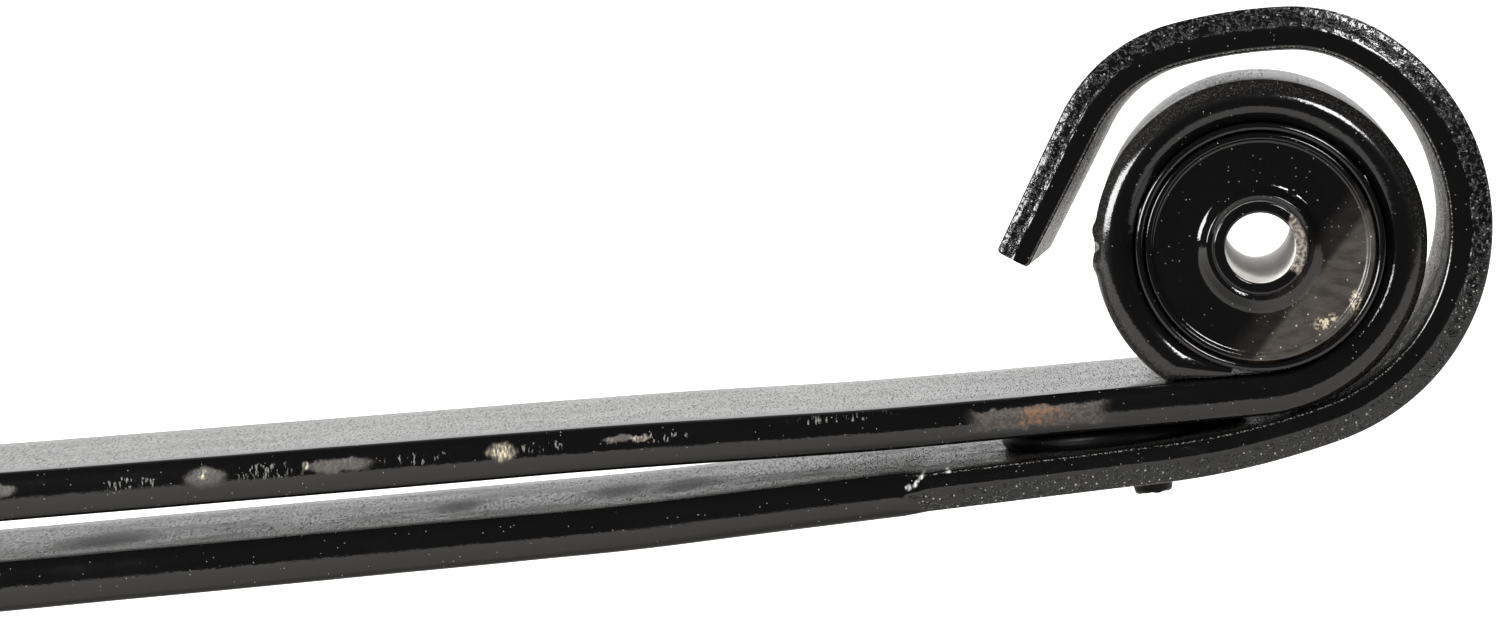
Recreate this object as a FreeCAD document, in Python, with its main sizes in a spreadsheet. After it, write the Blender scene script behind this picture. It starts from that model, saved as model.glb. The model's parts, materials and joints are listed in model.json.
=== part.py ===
"""Two-leaf parabolic leaf spring with a wrapped front eye, as a parametric FreeCAD document.

Frame: +X runs along the spring to the front (wrapped) eye, +Y across its width, +Z up.  The origin is on
the centre bolt's axis, in the bottom face of the spring where it sits on the axle.  Lengths in millimetres.
"""
import FreeCAD, Part
import Sketcher
import math
import os

Vector = FreeCAD.Vector
doc = FreeCAD.newDocument("LeafSpring")

SPLINE_SPANS = 24
HALVINGS = 50
EDGE_TOLERANCE = 0.01

# --------------------------------------------------------------------------- driving dimensions
SIZES = [
    ("half_span", 900, "centre bolt to eye axis, along X"),
    ("leaf_width", 90, "width of both leaves"),
    ("seat_half_length", 60, "half the flat, clamped length"),
    ("seat_thickness", 18, "leaf thickness at the seat"),
    ("tip_thickness", 12, "main leaf thickness at the eye"),
    ("second_tip_thickness", 12.4, "second leaf thickness before its hook"),
    ("taper_end", 60, "distance from the eye where the taper stops"),
    ("spacer_thickness", 11.9, "plate between the leaves at the seat"),
    ("spacer_length", 120, "length of that plate"),
    ("flex_reach", 270, "centre bolt to each arm's bending axis"),
    ("knuckle_radius", 20, "round nose of a seat section"),
    ("knuckle_gap", 0.3, "clearance round that nose"),
    ("camber_length", 486, "length of the long curve next to the seat"),
    ("main_slope", 4.55, "main leaf slope after that curve, degrees"),
    ("main_dip_slope", 3.6, "its flatter stretch, degrees"),
    ("main_eye_slope", 5.1, "its slope at the eye, degrees"),
    ("second_slope", 5.35, "second leaf slope after its long curve, degrees"),
    ("second_end_slope", 7, "its slope before the hook, degrees"),
    ("slope_change", 30, "length over which a slope changes"),
    ("slope_change_start", 200, "where that begins, from the eye"),
    ("dip_end", 125, "where the main leaf's flatter stretch ends, from the eye"),
    ("eye_radius", 35.5, "inside radius of both eyes"),
    ("eye_lead_radius", 44.3, "middle line of the eye's first, wider bend"),
    ("eye_lead_angle", 60, "direction where that bend ends, degrees"),
    ("scarf_gap", 0.4, "slit between an eye's end and its leaf"),
    ("scarf_reach", 11, "eye axis to the scarfed end, along X"),
    ("shear_start", 103, "where the second leaf is sheared down, from the eye"),
    ("shear_ramp", 7, "length of the step there"),
    ("hook_inner", 5.5, "hook's line to its inner face"),
    ("hook_outer", 6.7, "hook's line to its outer face"),
    ("hook_start", 27.4, "where the hook's first curve begins, from the eye"),
    ("hook_lead_radius", 216, "first, gentle curve of the hook's line"),
    ("hook_lead_angle", 20.2, "direction where it ends, degrees"),
    ("hook_bowl_radius", 59.1, "large curve in front of the eye"),
    ("hook_bowl_angle", 148.5, "direction where it ends"),
    ("hook_shoulder_radius", 43, "tighter curve above the eye"),
    ("hook_shoulder_angle", 182, "direction where it ends"),
    ("hook_crown_radius", 140, "flatter top of the hook"),
    ("hook_crown_angle", 195, "direction where it ends"),
    ("hook_elbow_radius", 42.5, "bend into the straight limb"),
    ("hook_elbow_angle", 243, "direction of the straight limb"),
    ("hook_limb", 42, "length of that limb"),
    ("plain_end_overhang", 20, "rear end of the second leaf, past the eye axis"),
    ("plain_end_clip", 14, "corner cut off that end"),
    ("bush_length", 100, "inner tube of a bush"),
    ("bush_bore_radius", 10, "bore of the inner tube"),
    ("tube_radius", 13.3, "outside of the inner tube"),
    ("tube_running_gap", 0.05, "room for the tube to turn in the rubber"),
    ("tube_chamfer", 0.8, "chamfer on the tube's ends"),
    ("sleeve_wall", 2.2, "wall of the outer sleeve"),
    ("sleeve_length", 96, "length of the outer sleeve"),
    ("sleeve_chamfer", 1, "chamfer on the sleeve's ends"),
    ("lip_radius", 15.6, "raised lip of rubber round the tube"),
    ("dish_depth", 2.4, "depth of the rubber's dished face"),
    ("lip_setback", 0.9, "rubber lip to the tube's end"),
    ("pad_radius", 36, "silencer pad"),
    ("pad_centre", 40, "pad centre, from the eye"),
    ("pad_clearance", 0.45, "pad to main leaf"),
    ("stem_centre", 32.7, "stem axis, from the eye"),
    ("stem_radius", 6.7, "stem through the second leaf"),
    ("stem_drop", 7, "stem below the second leaf"),
    ("stem_chamfer", 1.5, "chamfer on the stem's end"),
    ("stem_root", 1, "stem above the hook, inside the pad"),
    ("centre_bolt_radius", 7, "centre bolt shank"),
    ("centre_bolt_clearance", 0.3, "room round it in the leaves"),
    ("dowel_radius", 12, "round bolt head that locates the axle"),
    ("dowel_height", 12, "height of that head"),
    ("dowel_chamfer", 1.5, "chamfer on that head"),
    ("washer_radius", 15, "washer on the centre bolt"),
    ("washer_thickness", 3, "its thickness"),
    ("centre_nut_flats", 22, "nut, across flats"),
    ("centre_nut_height", 12, "nut height"),
    ("bolt_tail", 4, "thread showing past the nut"),
    ("clip_reach", 450, "centre bolt to each rebound clip"),
    ("clip_width", 40, "width of the clip's strap"),
    ("strap_thickness", 6, "thickness of that strap"),
    ("clip_side_gap", 1.5, "strap to the leaf's edge"),
    ("clip_bend_radius", 8, "outside corners of the strap"),
    ("strap_rise", 13.4, "strap above the clip bolt's axis"),
    ("clip_top_gap", 3, "spacer tube above the main leaf"),
    ("clip_tube_radius", 8, "outside of that tube"),
    ("clip_bolt_radius", 5, "clip bolt"),
    ("clip_bolt_clearance", 0.2, "room round it"),
    ("clip_flats", 16, "clip bolt head and nut, across flats"),
    ("clip_head_height", 6.4, "clip bolt head"),
    ("clip_nut_height", 8, "clip nut"),
    ("clip_bolt_tail", 3, "clip bolt past its nut"),
    ("rivet_radius", 5, "rivet shank"),
    ("rivet_head_radius", 9, "rivet heads"),
    ("rivet_head_height", 3, "their height"),
    ("rivet_rim_height", 0.9, "straight rim of a head"),
    ("rivet_crown_radius", 6.3, "flat crown of a head"),
    ("rivet_slack", 0.1, "room for the leaf's curve under a flat strap or head"),
    ("tool_margin", 5, "how far a cutting tool runs past each edge of a leaf"),
]

sheet = doc.addObject("Spreadsheet::Sheet", "Sizes")
for row, (alias, number, meaning) in enumerate(SIZES, start=1):
    sheet.set(f"A{row}", alias)
    sheet.set(f"B{row}", str(number))
    sheet.setAlias(f"B{row}", alias)
    sheet.set(f"C{row}", meaning)
doc.recompute()


class Dim:
    """A size: its value now, and the spreadsheet expression that gives it."""

    def __init__(self, value, text):
        self.value = value
        self.text = text

    def join(self, other, sign, value):
        text = other.text if isinstance(other, Dim) else str(other)
        return Dim(value, f"({self.text} {sign} {text})")

    def __add__(self, other):
        return self.join(other, "+", self.value + number_of(other))

    def __sub__(self, other):
        return self.join(other, "-", self.value - number_of(other))

    def __mul__(self, other):
        return self.join(other, "*", self.value * number_of(other))

    def __truediv__(self, other):
        return self.join(other, "/", self.value / number_of(other))


def number_of(thing):
    return thing.value if isinstance(thing, Dim) else float(thing)


def size(alias):
    return Dim(float(getattr(sheet, alias)), f"Sizes.{alias}")


def mm(alias):
    """The plain number in one cell."""
    return size(alias).value


def bind(thing, **sizes):
    for name, dim in sizes.items():
        thing.setExpression(name, dim.text)


# --------------------------------------------------------------------------- middle lines
class MiddleLine:
    """A line in the XZ plane made of straight runs and arcs; each run is (length, turn in degrees)."""

    def __init__(self, x, z, heading, runs):
        self.stations = [(x, z, heading)]
        self.runs = runs
        for length, turn in runs:
            self.stations.append(self.step(self.stations[-1], length, turn, 1.0))

    @staticmethod
    def step(station, length, turn, part):
        """The station reached after a part of one run."""
        x, z, heading = station
        half_turn = math.radians(turn * part) / 2
        chord = length * part
        if turn:
            chord = 2 * length / math.radians(turn) * math.sin(half_turn)
        direction = math.radians(heading) + half_turn
        return x + chord * math.cos(direction), z + chord * math.sin(direction), heading + turn * part

    def at(self, x):
        """The station at one X, on the stretch where the line still runs outwards."""
        for station, (length, turn) in zip(self.stations, self.runs):
            low, high = 0.0, 1.0
            if self.step(station, length, turn, high)[0] < x:
                continue
            for _ in range(HALVINGS):
                middle = (low + high) / 2
                if self.step(station, length, turn, middle)[0] < x:
                    low = middle
                else:
                    high = middle
            return self.step(station, length, turn, low)
        raise ValueError(f"the line does not reach x = {x}")


def beside(station, offset):
    """A point beside a station, to the right of its heading when the offset is positive."""
    x, z, heading = station
    angle = math.radians(heading)
    return Vector(x + offset * math.sin(angle), 0, z - offset * math.cos(angle))


def edges_beside(line, first, last, offset):
    """The edges of runs first to last of a line, at one distance to the right of it."""
    edges = []
    for index in range(first, last):
        length, turn = line.runs[index]
        start = beside(line.stations[index], offset)
        end = beside(line.stations[index + 1], offset)
        if turn:
            middle = beside(line.step(line.stations[index], length, turn, 0.5), offset)
            edges.append(Part.Arc(start, middle, end).toShape())
        else:
            edges.append(Part.LineSegment(start, end).toShape())
    return edges


SPAN = mm("half_span")
SECOND_MIDDLE = mm("seat_thickness") / 2
MAIN_MIDDLE = SECOND_MIDDLE + mm("seat_thickness") + mm("spacer_thickness")
TAPER_START = SPAN - mm("seat_half_length")
SLOPE_CHANGE = mm("slope_change")
CAMBER_END = TAPER_START - mm("camber_length")

main_line = MiddleLine(mm("seat_half_length"), MAIN_MIDDLE, 0, [
    (mm("camber_length"), mm("main_slope")),
    (CAMBER_END - mm("slope_change_start"), 0),
    (SLOPE_CHANGE, mm("main_dip_slope") - mm("main_slope")),
    (mm("slope_change_start") - SLOPE_CHANGE - mm("dip_end"), 0),
    (SLOPE_CHANGE, mm("main_eye_slope") - mm("main_dip_slope")),
    (mm("dip_end"), 0),
])

second_line = MiddleLine(mm("seat_half_length"), SECOND_MIDDLE, 0, [
    (mm("camber_length"), mm("second_slope")),
    (CAMBER_END - mm("slope_change_start"), 0),
    (SLOPE_CHANGE, mm("second_end_slope") - mm("second_slope")),
    (mm("slope_change_start"), 0),
])


def leaf_thickness(distance, tip):
    """Parabolic taper: the square of the thickness grows evenly with the distance from the eye."""
    share = (distance - mm("taper_end")) / (TAPER_START - mm("taper_end"))
    share = min(max(share, 0.0), 1.0)
    return math.sqrt(tip ** 2 + (mm("seat_thickness") ** 2 - tip ** 2) * share)


def tapered_edge(line, tip, end, side):
    """A spline along one face of a tapered leaf, from the seat to the station called end."""
    first = line.stations[0][0]
    shares = [i / SPLINE_SPANS for i in range(SPLINE_SPANS)]
    stations = [line.at(first + (end[0] - first) * share) for share in shares] + [end]
    points = [beside(s, side * leaf_thickness(SPAN - s[0], tip) / 2) for s in stations]
    angle = math.radians(end[2])
    spline = Part.BSplineCurve()
    spline.interpolate(Points=points, InitialTangent=Vector(1, 0, 0),
                       FinalTangent=Vector(math.cos(angle), 0, math.sin(angle)))
    return spline.toShape()


def leaf_solid(edges):
    """A solid of the leaf's width from the edges of its side outline."""
    wire = Part.Wire(Part.__sortEdges__(edges))
    face = Part.Face(wire)
    face.translate(Vector(0, -mm("leaf_width") / 2, 0))
    return face.extrude(Vector(0, mm("leaf_width"), 0))


def segment(start, end):
    return Part.LineSegment(start, end).toShape()


def mirrored(edges):
    return [edge.mirror(Vector(0, 0, 0), Vector(1, 0, 0)) for edge in edges]


def seat_edges(middle):
    """The two straight edges of a leaf's clamped length."""
    half_length = mm("seat_half_length")
    half_thickness = mm("seat_thickness") / 2
    heights = (middle - half_thickness, middle + half_thickness)
    return [segment(Vector(-half_length, 0, z), Vector(half_length, 0, z)) for z in heights]


# --------------------------------------------------------------------------- the two forged leaves
EYE_HEADING = math.radians(mm("main_eye_slope"))
LEAD_ANGLE = math.radians(mm("eye_lead_angle"))
LEAD_EXTRA = mm("eye_lead_radius") - mm("eye_radius") - mm("tip_thickness") / 2


def polar(centre, radius, angle):
    return centre + Vector(radius * math.cos(angle), 0, radius * math.sin(angle))


LEAD_SHIFT = mm("eye_lead_radius") * math.sin(EYE_HEADING) - LEAD_EXTRA * math.sin(LEAD_ANGLE)
EYE_TANGENT = main_line.at(SPAN + LEAD_SHIFT)
LEAD = beside(EYE_TANGENT, -mm("eye_lead_radius"))
EYE = polar(LEAD, LEAD_EXTRA, LEAD_ANGLE - math.pi / 2)


def eye_arcs(radius, end):
    """One face of the rolled eye: the wider first bend, then round the eye's own centre to a point."""
    start, join = EYE_HEADING - math.pi / 2, LEAD_ANGLE - math.pi / 2
    lead_radius = radius + LEAD_EXTRA
    lead = Part.Arc(polar(LEAD, lead_radius, start), polar(LEAD, lead_radius, (start + join) / 2),
                    polar(LEAD, lead_radius, join))
    rest = Part.Arc(polar(EYE, radius, join), polar(EYE, radius, math.pi / 2), end)
    return [lead.toShape(), rest.toShape()]


def eye_edges():
    """The eye rolled up from the main leaf's end, which is scarfed to lie on the leaf's top face."""
    inner = mm("eye_radius")
    outer = inner + mm("tip_thickness")
    along = Vector(math.cos(EYE_HEADING), 0, math.sin(EYE_HEADING))
    upwards = Vector(-along.z, 0, along.x)
    leaf_top = beside(EYE_TANGENT, -mm("tip_thickness") / 2)
    depth = (EYE - leaf_top).dot(upwards) - mm("scarf_gap")
    reach = mm("scarf_reach")
    scarf_root = EYE - upwards * depth - along * math.sqrt(outer ** 2 - depth ** 2)
    scarf_tip = EYE - upwards * depth - along * reach
    scarf_nose = EYE - upwards * math.sqrt(inner ** 2 - reach ** 2) - along * reach
    scarf = [segment(scarf_root, scarf_tip), segment(scarf_tip, scarf_nose)]
    return eye_arcs(outer, scarf_root) + scarf + eye_arcs(inner, scarf_nose)


def main_leaf_solid():
    tip = mm("tip_thickness")
    arm = [tapered_edge(main_line, tip, EYE_TANGENT, side) for side in (1, -1)] + eye_edges()
    return leaf_solid(seat_edges(MAIN_MIDDLE) + arm + mirrored(arm))


def hook_line():
    """The line that the hook's faces follow, from the end of the sheared stretch to the tip."""
    start = second_line.at(SPAN - mm("shear_start") + mm("shear_ramp"))
    heading = mm("second_end_slope")
    runs = [(SPAN - mm("hook_start") - start[0], 0)]
    for part in ("lead", "bowl", "shoulder", "crown", "elbow"):
        turn = mm(f"hook_{part}_angle") - heading
        runs.append((mm(f"hook_{part}_radius") * math.radians(turn), turn))
        heading += turn
    runs.append((mm("hook_limb"), 0))
    return MiddleLine(start[0], start[1], mm("second_end_slope"), runs)


def second_leaf_solid():
    tip = mm("second_tip_thickness")
    shear = second_line.at(SPAN - mm("shear_start"))
    shear_half = leaf_thickness(mm("shear_start"), tip) / 2
    hook = hook_line()
    front = []
    for side, reach in ((1, mm("hook_outer")), (-1, mm("hook_inner"))):
        offset = side * reach
        front.append(tapered_edge(second_line, tip, shear, side))
        front.append(segment(beside(shear, side * shear_half), beside(hook.stations[0], offset)))
        front += edges_beside(hook, 0, len(hook.runs), offset)
    limb_end = hook.stations[-1]
    front.append(segment(beside(limb_end, mm("hook_outer")), beside(limb_end, -mm("hook_inner"))))
    plain_end = second_line.at(SPAN + mm("plain_end_overhang"))
    rear = [tapered_edge(second_line, tip, plain_end, side) for side in (1, -1)]
    rear.append(segment(beside(plain_end, tip / 2), beside(plain_end, -tip / 2)))
    return leaf_solid(seat_edges(SECOND_MIDDLE) + front + mirrored(rear))


def feature(label, shape):
    thing = doc.addObject("Part::Feature", label)
    thing.Shape = shape
    thing.Placement = FreeCAD.Placement()
    return thing


# --------------------------------------------------------------------------- small builders
ALONG_Y = FreeCAD.Rotation(Vector(1, 0, 0), -90)
UPRIGHT = FreeCAD.Rotation()
HALF_TURN = FreeCAD.Rotation(Vector(0, 0, 1), 180)


def place(thing, at=Vector(0, 0, 0), rotation=UPRIGHT):
    thing.Placement = FreeCAD.Placement(at, rotation)
    return thing


def cylinder(label, radius, height, at, rotation=UPRIGHT):
    thing = doc.addObject("Part::Cylinder", label)
    bind(thing, Radius=radius, Height=height)
    return place(thing, at, rotation)


def cylinder_across(label, radius, length, x, z):
    """A cylinder along Y, centred on the spring's middle plane."""
    return cylinder(label, radius, length, Vector(x, -length.value / 2, z), ALONG_Y)


def box(label, length, width, height, at):
    thing = doc.addObject("Part::Box", label)
    bind(thing, Length=length, Width=width, Height=height)
    return place(thing, at)


def hexagon(label, flats, height, at, rotation=UPRIGHT):
    thing = doc.addObject("Part::Prism", label)
    thing.Polygon = 6
    bind(thing, Circumradius=flats / math.sqrt(3), Height=height)
    return place(thing, at, rotation)


def combined(kind, label, things):
    thing = doc.addObject(kind, label)
    thing.Shapes = things
    thing.Refine = True
    return thing


def fused(label, *things):
    return combined("Part::MultiFuse", label, things)


def common(label, *things):
    return combined("Part::MultiCommon", label, things)


def cut(label, base, *tools):
    thing = doc.addObject("Part::Cut", label)
    thing.Base = base
    thing.Tool = tools[0] if len(tools) == 1 else fused(f"{label}_tools", *tools)
    thing.Refine = True
    return thing


def body_sketch(body, plane, label):
    sketch = body.newObject("Sketcher::SketchObject", label)
    origin_plane = next(f for f in body.Origin.OriginFeatures if f.Role == plane)
    sketch.AttachmentSupport = [(origin_plane, "")]
    sketch.MapMode = "FlatFace"
    return sketch


def bound_distance(sketch, kind, geometry, point, dim):
    """Ties one coordinate of a sketch point to the sheet; a zero coordinate goes on the axis itself."""
    if dim.value == 0:
        axis = -2 if kind == "DistanceX" else -1
        sketch.addConstraint(Sketcher.Constraint("PointOnObject", geometry, point, axis))
        return
    index = sketch.addConstraint(Sketcher.Constraint(kind, -1, 1, geometry, point, dim.value))
    sketch.setExpression(f"Constraints[{index}]", dim.text)


def polygon(sketch, corners):
    """A closed polygon whose corners, pairs of Dims, are all tied to the sheet."""
    count = len(corners)
    points = [Vector(x.value, y.value, 0) for x, y in corners]
    for i in range(count):
        sketch.addGeometry(Part.LineSegment(points[i], points[(i + 1) % count]), False)
    for i in range(count):
        sketch.addConstraint(Sketcher.Constraint("Coincident", i, 2, (i + 1) % count, 1))
    for i, (x, y) in enumerate(corners):
        bound_distance(sketch, "DistanceX", i, 1, x)
        bound_distance(sketch, "DistanceY", i, 1, y)


def circle(sketch, x, y, radius):
    index = sketch.addGeometry(Part.Circle(Vector(x.value, y.value, 0), Vector(0, 0, 1), radius.value), False)
    bound_distance(sketch, "DistanceX", index, 3, x)
    bound_distance(sketch, "DistanceY", index, 3, y)
    constraint = sketch.addConstraint(Sketcher.Constraint("Radius", index, radius.value))
    sketch.setExpression(f"Constraints[{constraint}]", radius.text)


def turned(label, plane, corners, at, rotation=UPRIGHT):
    """A body turned about its own vertical sketch axis; corners are (radius, height) pairs."""
    body = doc.addObject("PartDesign::Body", label)
    sketch = body_sketch(body, plane, f"{label}_profile")
    polygon(sketch, corners)
    revolution = body.newObject("PartDesign::Revolution", f"{label}_turning")
    revolution.Profile = sketch
    revolution.ReferenceAxis = (sketch, ["V_Axis"])
    revolution.Angle = 360
    body.Tip = revolution
    return place(body, at, rotation)


NONE = Dim(0.0, "0")


# --------------------------------------------------------------------------- leaves, cut into sections
def flex_point(line):
    """Where an arm bends: on the leaf's middle line."""
    x, z, _ = line.at(mm("flex_reach"))
    return x, z


def leaf_sections(leaf, name, line, front_holes, rear_holes):
    """The clamped section of a leaf, with a round nose at each end, and the two arms that bend from it."""
    flex_x, flex_z = flex_point(line)
    reach = size("flex_reach")
    across = size("leaf_width") + size("tool_margin") * 2
    tall = size("half_span")
    low = Vector(-reach.value, -across.value / 2, flex_z - tall.value / 2)
    middle_box = box(f"{name}_middle", reach * 2, across, tall, low)
    noses = []
    arms = []
    for end, sign, holes in (("front", 1, front_holes), ("rear", -1, rear_holes)):
        x = sign * flex_x
        noses.append(cylinder_across(f"{name}_{end}_nose", size("knuckle_radius"), across, x, flex_z))
        relief_radius = size("knuckle_radius") + size("knuckle_gap")
        relief = cylinder_across(f"{name}_{end}_relief", relief_radius, across, x, flex_z)
        start = min(x, x + sign * tall.value)
        side_box = box(f"{name}_{end}_side", tall, across, tall, Vector(start, low.y, low.z))
        side = common(f"{name}_{end}_half", leaf, side_box)
        arms.append(cut(f"{name}_{end}_arm", side, relief, *holes))
    envelope = fused(f"{name}_middle_envelope", middle_box, *noses)
    clamped = common(f"{name}_clamped", leaf, envelope)
    hole_radius = size("centre_bolt_radius") + size("centre_bolt_clearance")
    hole = cylinder(f"{name}_bolt_hole", hole_radius, tall, Vector(0, 0, low.z))
    return [cut(f"{name}_seat", clamped, hole)] + arms


def leaf_frame(line, distance_from_centre, sign):
    """Where a station of a leaf is, and the rotation that stands a piece square on the leaf there."""
    x, z, heading = line.at(distance_from_centre)
    lean = FreeCAD.Rotation(Vector(0, 1, 0), -heading)
    rotation = lean if sign > 0 else HALF_TURN.multiply(lean)
    return Vector(sign * x, 0, z), rotation


def square_hole(label, radius, distance_from_centre, sign):
    """A tool for a hole square through the second leaf."""
    at, rotation = leaf_frame(second_line, distance_from_centre, sign)
    depth = size("seat_thickness") * 2
    return cylinder(label, radius, depth, at + rotation.multVec(Vector(0, 0, -depth.value / 2)), rotation)


def plain_end_corners():
    """Two upright prisms that clip the corners off the second leaf's rear end."""
    clip = size("plain_end_clip")
    tall = size("seat_thickness") * 4
    tip = second_line.at(SPAN + mm("plain_end_overhang"))
    tools = []
    for sign in (1, -1):
        corner = Vector(-tip[0], sign * mm("leaf_width") / 2, tip[1] - tall.value / 2)
        rotation = FreeCAD.Rotation(Vector(0, 0, 1), 45)
        side = clip * math.sqrt(2)
        shift = rotation.multVec(Vector(-side.value / 2, -side.value / 2, 0))
        tool = box(f"corner_clip_{'left' if sign > 0 else 'right'}", side, side, tall, corner + shift)
        tool.Placement = FreeCAD.Placement(corner + shift, rotation)
        tools.append(tool)
    return tools


def make_leaves():
    main_leaf = feature("main_leaf_blank", main_leaf_solid())
    second_leaf = feature("second_leaf_blank", second_leaf_solid())
    holes = {}
    for end, sign in (("front", 1), ("rear", -1)):
        stem = square_hole(f"{end}_stem_hole", size("stem_radius"), SPAN - mm("stem_centre"), sign)
        rivet = square_hole(f"{end}_rivet_hole", size("rivet_radius"), mm("clip_reach"), sign)
        holes[end] = [stem, rivet]
    holes["rear"] += plain_end_corners()
    nodes = leaf_sections(main_leaf, "main_leaf", main_line, [], [])
    nodes += leaf_sections(second_leaf, "second_leaf", second_line, holes["front"], holes["rear"])
    return nodes, second_leaf


# --------------------------------------------------------------------------- seat and centre bolt
def make_seat():
    spacer = doc.addObject("PartDesign::Body", "seat_spacer")
    sketch = body_sketch(spacer, "XY_Plane", "seat_spacer_outline")
    length, width = size("spacer_length"), size("leaf_width")
    polygon(sketch, [(NONE, NONE), (length, NONE), (length, width), (NONE, width)])
    circle(sketch, length / 2, width / 2, size("centre_bolt_radius") + size("centre_bolt_clearance"))
    pad = spacer.newObject("PartDesign::Pad", "seat_spacer_pad")
    pad.Profile = sketch
    bind(pad, Length=size("spacer_thickness"))
    spacer.Tip = pad
    place(spacer, Vector(-length.value / 2, -width.value / 2, mm("seat_thickness")))

    stack = size("seat_thickness") * 2 + size("spacer_thickness")
    shank, head = size("centre_bolt_radius"), size("dowel_radius")
    head_height, chamfer = size("dowel_height"), size("dowel_chamfer")
    tail = stack + size("washer_thickness") + size("centre_nut_height") + size("bolt_tail")
    bolt = turned("centre_bolt", "XZ_Plane", [
        (NONE, NONE), (head - chamfer, NONE), (head, chamfer), (head, head_height), (shank, head_height),
        (shank, head_height + tail - chamfer), (shank - chamfer, head_height + tail),
        (NONE, head_height + tail)], Vector(0, 0, -head_height.value))

    hole = size("centre_bolt_radius") + size("centre_bolt_clearance")
    washer = turned("centre_bolt_washer", "XZ_Plane", [
        (hole, NONE), (size("washer_radius"), NONE), (size("washer_radius"), size("washer_thickness")),
        (hole, size("washer_thickness"))], Vector(0, 0, stack.value))

    nut_base = Vector(0, 0, stack.value + mm("washer_thickness"))
    nut_blank = hexagon("centre_nut_blank", size("centre_nut_flats"), size("centre_nut_height"), nut_base)
    nut_hole = cylinder("centre_nut_bore", shank, size("centre_nut_height"), nut_base)
    nut = cut("centre_bolt_nut", nut_blank, nut_hole)
    return [spacer, bolt, washer, nut]


# --------------------------------------------------------------------------- rubber bushes
def make_bush(end, sign):
    """Outer sleeve pressed into an eye, rubber bonded in it, and the inner tube that turns against the rubber."""
    def at(length):
        return Vector(sign * EYE.x, -length.value / 2, EYE.z)

    eye, wall, length = size("eye_radius"), size("sleeve_wall"), size("sleeve_length")
    chamfer = size("sleeve_chamfer")
    sleeve = turned(f"{end}_bush_outer_sleeve", "XY_Plane", [
        (eye - wall, NONE), (eye - chamfer, NONE), (eye, chamfer), (eye, length - chamfer),
        (eye - chamfer, length), (eye - wall, length)], at(length))

    tube, bore, long = size("tube_radius"), size("bush_bore_radius"), size("bush_length")
    bevel = size("tube_chamfer")
    inner_tube = turned(f"{end}_bush_inner_tube", "XY_Plane", [
        (bore + bevel, NONE), (tube - bevel, NONE), (tube, bevel), (tube, long - bevel), (tube - bevel, long),
        (bore + bevel, long), (bore, long - bevel), (bore, bevel)], at(long))

    depth, lip = size("dish_depth"), size("lip_radius")
    rubber_length = long - size("lip_setback") * 2
    core, rim = tube + size("tube_running_gap"), eye - wall
    rubber = turned(f"{end}_bush_rubber", "XY_Plane", [
        (core, NONE), (lip, NONE), (lip + depth, depth), (rim, depth), (rim, rubber_length - depth),
        (lip + depth, rubber_length - depth), (lip, rubber_length), (core, rubber_length)], at(rubber_length))
    return [sleeve, rubber, inner_tube]


# --------------------------------------------------------------------------- silencer pads
def make_pad(end, sign, second_leaf):
    """A rubber pad that fills the wedge between the leaf ends, with a stem through the second leaf."""
    radius, height = size("pad_radius"), size("seat_thickness")
    at, rotation = leaf_frame(second_line, SPAN - mm("pad_centre"), sign)
    disc = cylinder(f"{end}_pad_disc", radius, height, at, rotation)

    main_at, main_rotation = leaf_frame(main_line, SPAN - mm("pad_centre"), sign)
    over = size("tip_thickness") / 2 + size("pad_clearance")
    lid_size = radius * 4
    corner = Vector(-lid_size.value / 2, -lid_size.value / 2, -over.value)
    lid = box(f"{end}_pad_lid", lid_size, lid_size, lid_size, main_at + main_rotation.multVec(corner))
    lid.Placement = FreeCAD.Placement(main_at + main_rotation.multVec(corner), main_rotation)
    wedge = cut(f"{end}_pad_wedge", disc, second_leaf, lid)

    stem_at, stem_rotation = leaf_frame(second_line, SPAN - mm("stem_centre"), sign)
    stem_top = size("hook_inner") + size("stem_root")
    bottom = size("hook_outer") + size("stem_drop")
    stem = cylinder(f"{end}_stem", size("stem_radius"), bottom + stem_top,
                    stem_at + stem_rotation.multVec(Vector(0, 0, -bottom.value)), stem_rotation)
    doc.recompute()
    chamfered = doc.addObject("Part::Chamfer", f"{end}_stem_end")
    chamfered.Base = stem
    lowest = min(range(len(stem.Shape.Edges)), key=lambda i: stem.Shape.Edges[i].CenterOfMass.z)
    chamfered.Edges = [(lowest + 1, mm("stem_chamfer"), mm("stem_chamfer"))]
    return [fused(f"{end}_silencer_pad", wedge, chamfered)]


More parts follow.
